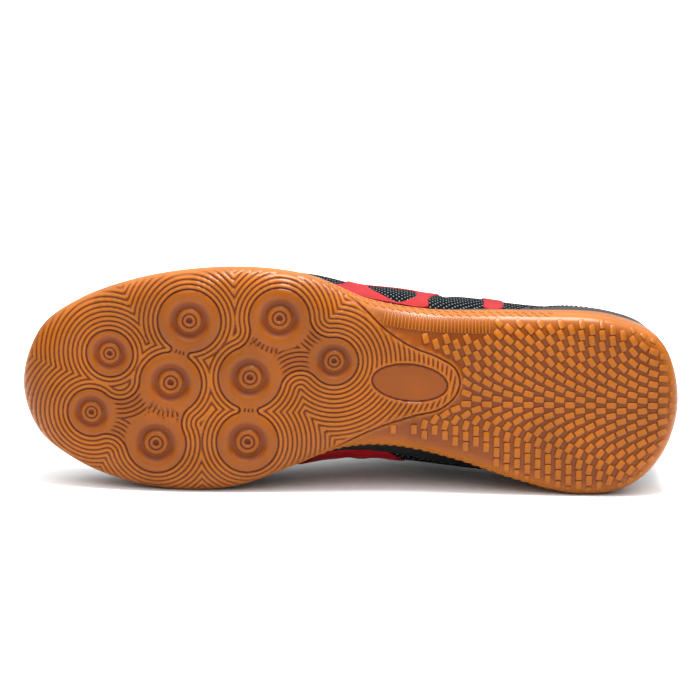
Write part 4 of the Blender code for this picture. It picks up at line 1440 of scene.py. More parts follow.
    def field_points(self, inner: Array) -> Array:
        """Loose plan points inside the rounded edge, closest where the plate is rippled.

        Args:
            inner: the line that they lie inside.

        Returns:
            Plan points.
        """
        found = []
        for step, on_plate in ((self.plate_step, True), (self.heel_step, False)):
            xs = np.arange(0, FORM.sole_length, step)
            ys = np.arange(0, FORM.ball_width, step * math.sqrt(0.75))
            grid = np.array([(x + (j % 2) * step / 2, y) for j, y in enumerate(ys) for x in xs])
            grid = grid[inside_loop(inner, grid)]
            grid = grid[distance_to(inner, grid, True) > 0.55 * step]
            near = self.plate_distance(grid) > -2.5 * MM
            found.append(grid[near if on_plate else ~near])
        points = np.vstack(found)
        points = points[self.tick_distance(points) > self.tick_half + 0.25 * MM]
        away = np.linalg.norm(points[:, None] - self.discs[None, :, :2], axis=2)
        return points[(away > self.discs[None, :, 2] + 0.1 * MM).all(axis=1)]

    def base_mesh(self, around: Array) -> CutMesh:
        """The flat mesh that the grooves are cut in: edge rows, field and pods.

        Args:
            around: signed share of the length of each section.

        Returns:
            The mesh, with its measures.
        """
        rows = self.rim_rows(around)
        inner = rows[-1]
        angle = turns(self.pod_steps)
        circle = np.stack([np.cos(angle), np.sin(angle)], axis=1)
        seats = [d[:2] + circle * (d[2] - 0.5 * self.line_width) for d in self.discs]
        loops = [inner, *seats]
        points, edges = [], []
        for loop in loops:
            first, count = len(points), len(loop)
            points += [Vector(p) for p in loop]
            edges += [(first + i, first + (i + 1) % count) for i in range(count)]
        for start, end in self.ticks:
            way = unit(end - start) * self.tick_half
            side = np.array([-way[1], way[0]])
            first = len(points)
            slot = [start - side, end - side, end + side, start + side, start + way, end - way]
            points += [Vector(p) for p in slot]
            edges += [(first + a, first + b) for a, b in ((0, 1), (1, 2), (2, 3), (3, 0), (4, 5))]
        points += [Vector(p) for p in self.field_points(inner)]
        ring = [list(range(len(inner)))]
        flat, _, faces, *_ = geometry.delaunay_2d_cdt(points, edges, ring, 1, 0.001 * MM)
        flat = np.array([tuple(p) for p in flat])
        faces = np.array([tuple(f) for f in faces])
        middle = flat[faces].mean(axis=1)
        away = np.linalg.norm(middle[:, None] - self.discs[None, :, :2], axis=2)
        faces = faces[(away > self.discs[None, :, 2] - 0.52 * self.line_width).all(axis=1)]
        outer = rows[:-1].reshape(-1, 2)
        strips = halved(grid_faces(len(rows), len(around), closed=True))
        triangles = [strips, faces + len(outer)]
        plan, depth, tone = [outer, flat], [], []
        depth.append(np.zeros(len(outer) + len(flat)))
        tone.append(np.ones(len(outer) + len(flat)))
        total, first_seat = len(outer) + len(flat), len(outer) + len(around)
        for k, disc in enumerate(self.discs):
            share = self.small_share if disc[2] < 0.9 * self.big_pod else 1.0
            bowl = self.bowl * share
            seat = first_seat + k * self.pod_steps + np.arange(self.pod_steps)
            numbers = [seat]
            for row in POD_ROWS:
                plan.append(disc[:2] + circle * bowl * row.out)
                depth.append(np.full(self.pod_steps, row.deep * self.bowl_depth * share))
                tone.append(np.full(self.pod_steps, row.tone))
                numbers.append(total + np.arange(self.pod_steps))
                total += self.pod_steps
            for a, b in zip(numbers, numbers[1:]):
                c, d = np.roll(a, -1), np.roll(b, -1)
                triangles += [np.stack([a, c, d], axis=1), np.stack([a, d, b], axis=1)]
            plan.append(disc[None, :2])
            depth.append(np.array([POD_ROWS[-1].deep * self.bowl_depth * share]))
            tone.append(np.array([POD_ROWS[-1].tone]))
            last = numbers[-1]
            tip = np.full(len(last), total)
            triangles.append(np.stack([last, np.roll(last, -1), tip], axis=1))
            total += 1
        table = self.measures(np.vstack(plan))
        table["lathe"] = np.concatenate(depth)
        table["lathe_painted_shade"] = np.concatenate(tone)
        return CutMesh(table, np.vstack(triangles))

    def cut_lines(self, mesh: CutMesh) -> None:
        """Cuts the mesh along the creases of every groove.

        Args:
            mesh: the flat mesh.
        """
        half = self.line_width / 2
        for name in ("plate", "oval"):
            for level in (-half, 0.0, half):
                mesh.cut(name, level, name + "_on")
        for level in (-half, 0.0, half):
            mesh.cut("ripple", level, "line_on")
        reach = mesh.table["ripple"][mesh.table["ripple_on"] > 0] / self.groove_pitch
        high, low = int(reach.max()), int(-reach.min())
        for k in [*range(-low - 1, 0), *range(1, high + 2)]:
            for offset in (-self.groove_width / 2, 0.0, self.groove_width / 2):
                mesh.cut("ripple", k * self.groove_pitch + offset, "ripple_on")

    def relief(self, table: dict) -> tuple:
        """Depth below the underside and lightness at each point from the measures, with painted
        shade in the grooves, notches, pod bowls and heel recess.

        Args:
            table: the measures by name.

        Returns:
            Depths and tones.
        """
        half = self.line_width / 2
        phase = table["ripple"] / self.groove_pitch
        off = np.abs(phase - np.round(phase)) * self.groove_pitch
        off = np.where(np.round(phase) == 0, np.inf, off)
        groove = np.clip(1 - off / (self.groove_width / 2), 0, 1) * table["ripple_on"]
        line = np.clip(1 - np.abs(table["ripple"]) / half, 0, 1) * table["line_on"]
        edge = np.clip(1 - np.abs(table["plate"]) / half, 0, 1) * fade(table["plate_on"], 0, 1)
        rim = np.clip(1 - np.abs(table["oval"]) / half, 0, 1)
        tick = 1 - fade(table["tick"], 0.0, self.tick_half)
        lines = np.maximum.reduce([line, edge, rim])
        in_oval = fade(-table["oval"], 0.0, half)
        heel = table["heel_on"]
        depth = np.maximum.reduce(
            [
                groove * self.groove_depth,
                lines * self.line_depth,
                tick * self.groove_depth,
                in_oval * self.oval_depth,
                heel * self.heel_depth,
                table["lathe"],
            ]
        )
        top = np.where(table["ripple"] < 0, self.disc_tone, 1.0)
        # Painted shade: the heel's recess, the ripple grooves, the notches, the pods' bowls and the
        # cut lines are drawn darker; the oval is drawn darker too.
        top = top - self.oval_shade * in_oval - self.heel_painted_shade * heel
        tone = top - self.groove_painted_shade * groove - self.tick_painted_shade * tick
        tone = np.minimum(tone, table["lathe_painted_shade"])
        return depth, np.clip(tone - lines, 0, 1)

    def build(self) -> None:
        """Makes the tread."""
        around = even_around(self.around_count)
        mesh = self.base_mesh(around)
        self.cut_lines(mesh)
        depth, tone = self.relief(mesh.table)
        height = mesh.table["base"] + depth
        points = np.column_stack([mesh.table["x"], mesh.table["y"], height])
        a, b, c = (points[mesh.triangles[:, k], :2] for k in range(3))
        area = np.cross(b - a, c - a)
        mesh.triangles[area > 0] = mesh.triangles[area > 0][:, ::-1]
        LOG.info("tread has %d triangles", len(mesh.triangles))
        make_piece("tread", points, mesh.triangles, "rubber", ("outsole",), tone)


@dataclass
class CupWall:
    """The outsole's wall, its rim band and the inside of the cup."""

    around_count: int = 560
    lean: float = 1.2 * MM
    band: float = 5.0 * MM
    band_step: float = 0.6 * MM
    rim_round: float = 0.8 * MM

    def build(self) -> None:
        """Makes the wall as rows of points round the sole."""
        around = even_around(self.around_count)

        def below_rim(drop: float) -> Callable:
            """Rule for a height that lies a drop below the rim."""
            return lambda a: FORM.rim_height(a) - drop

        def between(share: float) -> Callable:
            """Rule for a height between the rounded edge and the rim's band."""
            return lambda a: FORM.edge_top(a) * (1 - share) + band(a) * share

        band = below_rim(self.band)
        lean, step, turn = self.lean, self.band_step, self.rim_round
        # The last number of each row is painted shade: darker in the step under the rim's band and
        # down the inside of the cup to its floor.
        rows = [(SOLE_RING, 0.0, FORM.edge_top, 1.0)]
        rows += [(SOLE_RING, lean * 0.4 * s, between(s), 1.0) for s in (0.25, 0.5, 0.75, 0.94)]
        rows += [
            (SOLE_RING, lean * 0.4, band, 0.8),
            (SOLE_RING, lean * 0.4 + step * 0.7, below_rim(self.band - 0.1 * MM), 0.35),
            (SOLE_RING, lean * 0.4 + step, below_rim(self.band - 0.5 * MM), 0.5),
            (SOLE_RING, lean * 0.7 + step * 0.8, below_rim(self.band * 0.5), 1.0),
            (SOLE_RING, lean + step * 0.5, below_rim(turn * 1.2), 1.0),
            (SOLE_RING, lean + step * 0.5 + turn * 0.3, below_rim(turn * 0.3), 1.0),
            (SOLE_RING, lean + turn, below_rim(0.0), 1.0),
            (CUP_RING, -0.25 * turn, below_rim(0.0), 0.9),
            (CUP_RING, 0.0, below_rim(0.4 * turn), 0.6),
            (CUP_RING, 0.0, FORM.floor_height, 0.4),
        ]
        points = [ring.at(around, rule, inset) for ring, inset, rule, _ in rows]
        tone = [np.full(len(around), row[3]) for row in rows]
        reach = CUP_RING.reach(around)
        for share in (0.5, 1.0):
            points.append(CUP_RING.at(around, FORM.floor_height, reach * share))
            tone.append(np.full(len(around), 0.4))
        faces = grid_faces(len(points), len(around), closed=True, flip=True)
        stacked = np.array(points).reshape(-1, 3)
        make_piece("cup_wall", stacked, faces, "rubber", (), np.concatenate(tone))


class TurnRow(NamedTuple):
    """How fast the heel's bricks turn off the sole's length, in degrees per millimetre.

    most is the largest turn on the lateral side, in degrees.
    """

    back: float
    medial: float
    lateral: float
    most: float


TURN_ROWS = [
    TurnRow(*row)
    for row in (
        (2 * MM, 2.0, 0.3, 90), (9 * MM, 1.9, 0.6, 90), (18 * MM, 1.8, 1.7, 90),
        (27 * MM, 2.0, 2.8, 88), (38 * MM, 2.6, 3.0, 80), (50 * MM, 3.2, 2.7, 68),
        (64 * MM, 4.2, 2.5, 48), (77 * MM, 5.4, 2.6, 42), (88 * MM, 7.5, 3.4, 60),
        (130 * MM, 8.0, 4.0, 85),
    )
]


@dataclass
class WallDashes:
    """Short slanted dashes pressed out of the sole's rounded edge along the waist."""

    length: float = 2.8 * MM
    width: float = 0.75 * MM
    height: float = 0.32 * MM
    pitch: float = 3.8 * MM
    rows: tuple = (0.012, 0.085)
    start: float = 0.19
    end: float = 0.54
    slant: tuple = (0.85, 0.53)
    corners: tuple = ((-1, -0.4), (-0.8, 1), (0.8, 1), (1, 0.4), (0.8, -1), (-0.8, -1))

    def edge(self, around: Array, share: float) -> Array:
        """Points of the rounded edge at a share of its width.

        Args:
            around: signed share of the length of each section.
            share: of the edge's width.

        Returns:
            The points.
        """
        along = SOLE_RING.at(around, FORM.edge_top)[:, 0] / FORM.sole_length
        width = FORM.edge_width(along) * share
        plan = SOLE_RING.at(around, FORM.edge_top, width)[:, :2]
        return np.column_stack([plan, FORM.underside(plan, width)])

    def build(self) -> None:
        """Makes both rows on both sides of the waist, in one mesh."""
        points, faces = [], []
        for side in Side:
            tries = side.value * np.linspace(self.start, self.end, 400)
            for number, share in enumerate(self.rows):
                line, above = self.edge(tries, share), self.edge(tries, share + 0.02)
                run = walked(line)
                for at in np.arange(self.pitch * (1 + number) / 2, run[-1], self.pitch):
                    k = min(int(np.searchsorted(run, at)), len(line) - 2)
                    way = unit(line[k + 1] - line[k - 1])
                    up = unit(line[k] - above[k])
                    out = np.cross(way, up) * side.value
                    slant = way * self.slant[0] + up * self.slant[1]
                    cross = np.cross(slant, out)
                    first = len(points)
                    for lift, size in ((-1.0, 1.0), (0.6, 0.9), (1.0, 0.5)):
                        for a, b in self.corners:
                            flat = slant * a * self.length / 2 + cross * b * self.width / 2
                            points.append(line[k] + flat * size - out * lift * self.height)
                    faces += (grid_faces(3, 6, closed=True) + first).tolist()
                    faces.append(tuple(range(first + 12, first + 18)))
        tone = np.full(len(points), 1.0)
        make_piece("wall_dashes", np.array(points), faces, "rubber", (), tone, None, 50)


@dataclass
class HeelLugs:
    """The heel's small raised bricks, which turn from lengthways to crossways."""

    length: float = 4.5 * MM
    width: float = 2.75 * MM
    column_step: float = 4.55 * MM
    row_step: float = 4.8 * MM
    middle: float = 41 * MM
    sink: float = 1.2 * MM
    bevel: float = 0.22 * MM
    grid_end: float = 0.56
    plate_gap: float = 2.6 * MM
    margin: float = 1.7 * MM
    waist_medial: float = 8 * MM
    waist_lateral: float = 10.2 * MM
    waist_start: float = 84 * MM
    rib_end: float = 140 * MM
    rib_pitch: float = 1.5 * MM
    rib_inset: float = 5.4 * MM
    rib_size: tuple = (6.2 * MM, 0.85 * MM)
    rib_lift: float = 0.3 * MM

    def lean(self, x: Array, y: Array) -> Array:
        """Turn of each brick from the sole's length, by its place in plan.

        Args:
            x: along the sole.
            y: across it.

        Returns:
            Angles in radians.
        """
        away = (y - self.middle) / MM
        knots = [row.back for row in TURN_ROWS]
        medial = np.interp(x, knots, [row.medial for row in TURN_ROWS])
        lateral = np.interp(x, knots, [row.lateral for row in TURN_ROWS])
        most = np.interp(x, knots, [row.most for row in TURN_ROWS])
        return np.radians(np.clip(away * np.where(away < 0, medial, lateral), -90, most))

    def block(self, centre: Array, way: Array, size: tuple, lift: float) -> tuple:
        """Points of one bevelled brick that follows the underside.

        Args:
            centre: its middle in plan.
            way: unit plan direction of its length.
            size: its length and width.
            lift: how far its top stands out of the underside.

        Returns:
            Plan points, heights above the underside, and tones that paint shade darker towards the
            brick's foot.
        """
        across = np.array([-way[1], way[0]])
        half = np.array(size) / 2
        cut = min(0.35 * MM, 0.3 * half[1])
        plan, rise, tone = [], [], []
        # Painted shade: each brick is drawn darker down its sides towards its foot in the recess.
        rings = ((0.0, self.sink, 0.2), (0.0, self.bevel - lift, 0.75), (self.bevel, -lift, 1.0))
        for inset, height, shade in rings:
            long, short = half - inset
            half_round = [(long, short - cut), (long - cut, short)]
            half_round += [(-a, b) for a, b in half_round[::-1]]
            other_half = [(a, -b) for a, b in half_round[::-1]]
            corners = other_half[-1:] + half_round + other_half[:-1]
            plan += [centre + way * a + across * b for a, b in corners]
            rise += [height] * len(corners)
            tone += [shade] * len(corners)
        return plan, rise, tone

    def places(self, tread: Tread) -> list:
        """Middle, direction, size and lift of every brick.

        Args:
            tread: the tread that they stand on.

        Returns:
            One row for each brick.
        """
        columns = range(int(self.grid_end * FORM.sole_length / self.column_step))
        plan = [
            ((i + 0.6) * self.column_step, self.middle + (j + 0.5 * (i % 2)) * self.row_step)
            for i in columns
            for j in range(-12, 13)
        ]
        plan = np.array(plan)
        rim = distance_to(SOLE_RING.line, plan, True)
        inside = inside_loop(SOLE_RING.line, plan)
        inside &= tread.plate_distance(plan) < -self.plate_gap
        waist = np.where(plan[:, 1] < self.middle, self.waist_medial, self.waist_lateral)
        chosen = inside & (rim > np.where(plan[:, 0] > self.waist_start, waist, self.margin))
        places = []
        for spot, lean, near in zip(plan[chosen], self.lean(*plan[chosen].T), rim[chosen]):
            full = float(fade(near, 1 * MM, 5 * MM))
            size = (self.length * (0.6 + 0.4 * full), self.width * (0.8 + 0.2 * full))
            lift = 0.35 * MM * (1 - full)
            places.append((spot, np.array([math.cos(lean), math.sin(lean)]), size, lift))
        outline, normals = SOLE_RING.line, inward_normals(SOLE_RING.line)
        line = np.vstack([outline, outline[:1]])
        run = walked(line)
        at = np.arange(0, run[-1], self.rib_pitch)
        spots = read_along(at, run, line)
        ways = read_along(at, run, np.vstack([normals, normals[:1]]))
        chosen = tread.plate_distance(spots + ways * 7 * MM) < -1.6 * MM
        chosen &= spots[:, 1] > self.middle
        chosen &= (spots[:, 0] > self.waist_start) & (spots[:, 0] < self.rib_end)
        for spot, way in zip(spots[chosen], ways[chosen]):
            places.append((spot + way * self.rib_inset, unit(way), self.rib_size, self.rib_lift))
        return places

    def build(self, tread: Tread) -> None:
        """Makes every brick, in one mesh.

        Args:
            tread: the tread that they stand on.
        """
        plan, rise, tone = [], [], []
        for place in self.places(tread):
            for into, more in zip((plan, rise, tone), self.block(*place)):
                into.extend(more)
        plan = np.array(plan)
        rim = distance_to(SOLE_RING.line, plan, True)
        rim = np.where(inside_loop(SOLE_RING.line, plan), rim, 0)
        height = FORM.underside(plan, rim) + np.array(rise)
        points = np.column_stack([plan, height])
        faces = []
        for first in range(0, len(points), 24):
            for k in range(16):
                a, b = first + k, first + k - k % 8 + (k + 1) % 8
                faces.append((a, a + 8, b + 8, b))
            faces.append(tuple(range(first + 16, first + 24))[::-1])
        make_piece("heel_lugs", points, faces, "rubber", (), np.array(tone), None, 50)


class Crease(NamedTuple):
    """A soft trough or ridge across the upper, where it bends as the foot rolls."""

    side: Side
    along: float
    low: float
    high: float
    slant: float
    width: float
    depth: float


CREASES = [
    Crease(*row)
    for row in (
        (Side.MEDIAL, 0.715, 0.35, 1.05, 0.030, 3.2 * MM, 0.75 * MM),
        (Side.MEDIAL, 0.738, 0.45, 1.05, 0.022, 3.8 * MM, -0.40 * MM),
        (Side.MEDIAL, 0.762, 0.40, 0.95, 0.018, 3.0 * MM, 0.55 * MM),
        (Side.MEDIAL, 0.455, 0.50, 0.85, -0.045, 4.0 * MM, 0.70 * MM),
        (Side.MEDIAL, 0.330, 0.55, 0.92, 0.050, 4.5 * MM, 0.80 * MM),
        (Side.LATERAL, 0.712, 0.38, 1.05, 0.028, 3.4 * MM, 0.80 * MM),
        (Side.LATERAL, 0.736, 0.42, 1.05, 0.020, 3.6 * MM, -0.45 * MM),
        (Side.LATERAL, 0.765, 0.36, 0.90, 0.016, 2.8 * MM, 0.50 * MM),
        (Side.LATERAL, 0.480, 0.48, 0.88, -0.040, 4.2 * MM, 0.65 * MM),
        (Side.LATERAL, 0.345, 0.52, 0.90, 0.055, 4.6 * MM, 0.85 * MM),
    )
]


def crease_offset(around: Array, share: Array) -> Array:
    """How far the creases move the upper's surface along its normal.

    Args:
        around: signed share of the length of each point.
        share: how far up its section each point lies, 1 at the section's edge.

    Returns:
        Offsets, below 0 in a trough.
    """
    moved = np.zeros(np.shape(around))
    for crease in CREASES:
        bent = crease.along + crease.slant * (share - crease.low)
        off = (around * crease.side.value - bent) * FORM.sole_length / crease.width
        held = fade(share, crease.low, crease.low + 0.15)
        held = held * fade(-share, -crease.high, -crease.high + 0.12)
        moved -= crease.depth * np.exp(-(off**2)) * held
    return moved


def fine_sections(split: int) -> Array:
    """The part's sections in order round the shoe, each gap split in so many steps.

    Args:
        split: steps to a gap.

    Returns:
        Their signed shares of the length.
    """
    fans = np.linspace(0, FORM.heel_fan, 8), np.linspace(FORM.toe_fan, 1, 9)[1:]
    collar = np.linspace(FORM.heel_fan, FORM.throat_top - 0.01, 9)[1:]
    throat = np.linspace(FORM.throat_top, FORM.throat_round, 10)
    reach = FORM.vamp_point - FORM.throat_round
    end = FORM.throat_round + reach * np.array([0.45, 0.8, 1.0])
    vamp = np.linspace(FORM.vamp_point, FORM.toe_fan, 6)[1:]
    coarse = np.concatenate([fans[0], collar, throat, end, vamp, fans[1]])
    steps = np.arange(0, len(coarse) - 1 + 1e-9, 1 / split)
    fine = np.interp(steps, np.arange(len(coarse)), coarse)
    return np.concatenate([fine, -fine[-2:0:-1]])


def dressed_surface(around: Array, up: Array, lift: Array | float) -> Array:
    """Points that lie a lift above the creased upper.

    Args:
        around: signed share of the length of each section.
        up: from 0 at the rim to 1 at the section's top.
        lift: how far above the skin each point lies.

    Returns:
        The points.
    """
    edge = np.maximum(up, 1e-6)
    normal = FORM.upper_normal(around, up)
    share = edge / np.maximum(UPPER_EDGE(around), 1e-6)
    offset = crease_offset(np.broadcast_to(around, share.shape), share) + lift
    return FORM.upper_surface(around, up) + normal * offset[..., None]


class TopEdge:
    """How far up each section of the upper ends, read quickly at many places."""

    def __init__(self) -> None:
        """Reads the form once, bridging the short step from the collar to the throat."""
        self.at = np.sort(np.concatenate([fine_sections(6), [-1.0]]))
        step = (FORM.throat_top - 0.01, FORM.throat_top)
        inside = (np.abs(self.at) > step[0] + 1e-6) & (np.abs(self.at) < step[1] - 1e-6)
        self.at = self.at[~inside]
        self.up = FORM.top_edge(self.at)

    def __call__(self, around: Array) -> Array:
        """The edge at each section."""
        return np.interp(around, self.at, self.up)


UPPER_EDGE = TopEdge()


@dataclass
class Upper:
    """The knitted skin of the upper and the padded lining that turns over its edge."""

    split: int = 6
    rows: int = 46
    lining_rows: int = 26
    roll: tuple = (20, 55, 90, 125, 160)

    def build(self) -> None:
        """Makes the skin and the lining."""
        around = fine_sections(self.split)
        edge = UPPER_EDGE(around)
        share = np.linspace(0, 1, self.rows)[:, None]
        around_grid = np.broadcast_to(around, (self.rows, len(around)))
        skin = dressed_surface(around_grid, share * edge, 0.0)
        foot = UPPER_RING.at(around, FORM.floor_height) + (0, 0, FORM.clearance)
        skin = np.vstack([foot[None], skin])
        weave = self.weave(around, skin).reshape(-1, 2)
        faces = grid_faces(len(skin), len(around), closed=True)
        make_piece("upper_skin", skin.reshape(-1, 3), faces, "mesh", ("upper",), None, weave)
        self.lining(around, edge, skin)

    def weave(self, around: Array, skin: Array) -> Array:
        """Flat place of each point of the skin, in metres, alike on both sides.

        Args:
            around: the sections.
            skin: the skin's points, row by row.

        Returns:
            The way along the shoe from the heel, and the way across from the ridge.
        """
        along = np.abs(around)
        half = (around >= 0) & (along <= FORM.toe_fan)
        knots = around[half]
        run = walked(skin[self.rows // 3][half])
        along_run = np.broadcast_to(np.interp(along, knots, run), skin.shape[:2])
        in_fan = np.maximum(skin[..., 0] - FORM.toe_fan * FORM.sole_length, 0)
        steps = np.linalg.norm(np.diff(skin[..., 1:], axis=0), axis=2)
        high = np.vstack([np.zeros(len(around)), np.cumsum(steps, axis=0)])
        spine = FORM.spine_at(along)
        start = np.linalg.norm(skin[-1, :, :2] - spine, axis=1)
        return np.stack([along_run + in_fan, start + high[-1] - high], axis=-1)

    def lining(self, around: Array, edge: Array, skin: Array) -> None:
        """Makes the lining, padded round the collar, with the edge it turns over.

        Args:
            around: the sections.
            edge: how far up each section ends.
            skin: the skin's points, row by row.
        """
        share = np.linspace(1, 0, self.lining_rows)[:, None]
        grid = np.broadcast_to(around, (self.lining_rows, len(around)))
        shares = np.broadcast_to(share, grid.shape)
        normal = FORM.upper_normal(grid, share * edge)
        offset = crease_offset(grid, shares) - FORM.wall_thickness(grid, shares)
        inner = FORM.upper_surface(grid, share * edge) + normal * offset[..., None]
        start, end = skin[-1], inner[0]
        middle, half = (start + end) / 2, (start - end) / 2
        way = unit(skin[-1] - skin[-3]) * np.linalg.norm(half, axis=1)[:, None]
        turned = [start]
        for angle in np.radians(self.roll):
            turned.append(middle + half * math.cos(angle) + way * math.sin(angle))
        foot_ring = UPPER_RING.inset(FORM.upper_wall)
        foot = foot_ring.at(around, FORM.floor_height) + (0, 0, FORM.clearance)
        points = np.vstack([np.array(turned), inner, foot[None]])
        steps = np.linalg.norm(np.diff(points, axis=0), axis=2)
        down = np.vstack([np.zeros(len(around)), np.cumsum(steps, axis=0)])
        run = walked(np.vstack([skin[-1], skin[-1, :1]]))[:-1]
        weave = np.stack([np.broadcast_to(run, down.shape), down], axis=-1).reshape(-1, 2)
        faces = grid_faces(len(points), len(around), closed=True)
        points = points.reshape(-1, 3)
        made = make_piece("collar_lining", points, faces, "lining", (), None, weave)


def rounded(distance: Array, reach: float) -> Array:
    """A quarter round: 0 at an edge, 1 from a reach inside it."""
    return np.sqrt(1 - (1 - fade(distance, 0, reach)) ** 2)


@dataclass
class Band:
    """An overlay pressed on the upper between two heights of each of its sections."""

    name: str
    around: Array
    low: Array
    high: Array
    replaces: tuple = ()
    thickness: float = 1.0 * MM
    seat: float = 0.08 * MM
    edge: float = 0.9 * MM
    rows: int = 24

    def build(self) -> None:
        """Makes the overlay, rounded off to the skin at each of its borders."""
        share = (1 - np.cos(np.linspace(0, math.pi, self.rows))) / 2
        up = self.low[None] * (1 - share[:, None]) + self.high[None] * share[:, None]
        around = np.broadcast_to(self.around, up.shape)
        flat = FORM.upper_surface(around, up)
        across = np.linalg.norm(np.diff(flat, axis=0), axis=2)
        down = np.vstack([np.zeros(up.shape[1]), np.cumsum(across, axis=0)])
        along = walked(flat[self.rows // 2])
        border = np.minimum(down, down[-1] - down)
        border = np.minimum(border, np.minimum(along, along[-1] - along)[None])
        lift = self.seat + self.thickness * rounded(border, self.edge)
        points = dressed_surface(around, up, lift).reshape(-1, 3)
        faces = grid_faces(self.rows, len(self.around))
        make_piece(self.name, points, faces, "synthetic", self.replaces)


def sections_between(start: float, end: float, step: float = 0.9 * MM) -> Array:
    """Even sections from start to end, with extra ones at both borders.

    Args:
        start: share of the length.
        end: the same.
        step: about how far apart.

    Returns:
        The sections' shares of the length.
    """
    count = int(abs(end - start) * FORM.sole_length / step) + 2
    even = np.linspace(start, end, count)
    near = np.array([0.0006, 0.0012, 0.002])
    way = 1 if end > start else -1
    return np.sort(np.concatenate([even, start + way * near, end - way * near]))[::way]


class Shape(NamedTuple):
    """A smooth closed line on the quarter: millimetres along, and above the cup's rim."""

    along: tuple
    above: tuple


def shape_distance(shape: Shape, points: Array) -> Array:
    """Signed distance to a shape's line, above 0 inside it.

    Args:
        shape: the line.
        points: places on the quarter.

    Returns:
        Distances.
    """
    line = closed_curve(np.column_stack([shape.along, shape.above]) * MM, 160)
    away = distance_to(line, points, True)
    return np.where(inside_loop(line, points), away, -away)


@dataclass
class Film:
    """Glossy red film on one quarter, cut with windows that show the mesh."""

    name: str
    side: Side
    outlines: tuple
    windows: tuple
    replaces: tuple
    thickness: float = 0.55 * MM
    seat: float = 0.08 * MM
    edge: float = 0.7 * MM
    step: float = 0.9 * MM

    def build(self) -> None:
        """Cuts the film out of a fine mesh along its outlines and windows."""
        reach = [place for outline in self.outlines for place in outline.along]
        start, end = min(reach) - 4, max(reach) + 4
        count = int((end - start) * MM / self.step)
        along = np.linspace(start, end, count) * MM / FORM.sole_length
        up = np.linspace(0.004, 0.72, 86)
        around, up = np.meshgrid(along * self.side.value, up)
        flat = FORM.upper_surface(around, up)
        place = flat[..., (0, 2)].reshape(-1, 2)
        place[:, 1] -= FORM.rim_height(place[:, 0] / FORM.sole_length)
        inside = np.max([shape_distance(outline, place) for outline in self.outlines], axis=0)
        for window in self.windows:
            inside = np.minimum(inside, -shape_distance(window, place))
        table = {"around": around.ravel(), "up": up.ravel(), "inside": inside}
        table["on"] = np.ones(inside.size)
        mesh = CutMesh(table, halved(grid_faces(*around.shape)))
        for level in (0.0, 0.25 * MM, self.edge):
            mesh.cut("inside", level, "on")
        mesh.keep(mesh.table["inside"][mesh.triangles].mean(axis=1) > 0)
        lift = self.seat + self.thickness * rounded(mesh.table["inside"], self.edge)
        points = dressed_surface(mesh.table["around"], mesh.table["up"], lift)
        make_piece(self.name, points, mesh.triangles, "film", self.replaces)


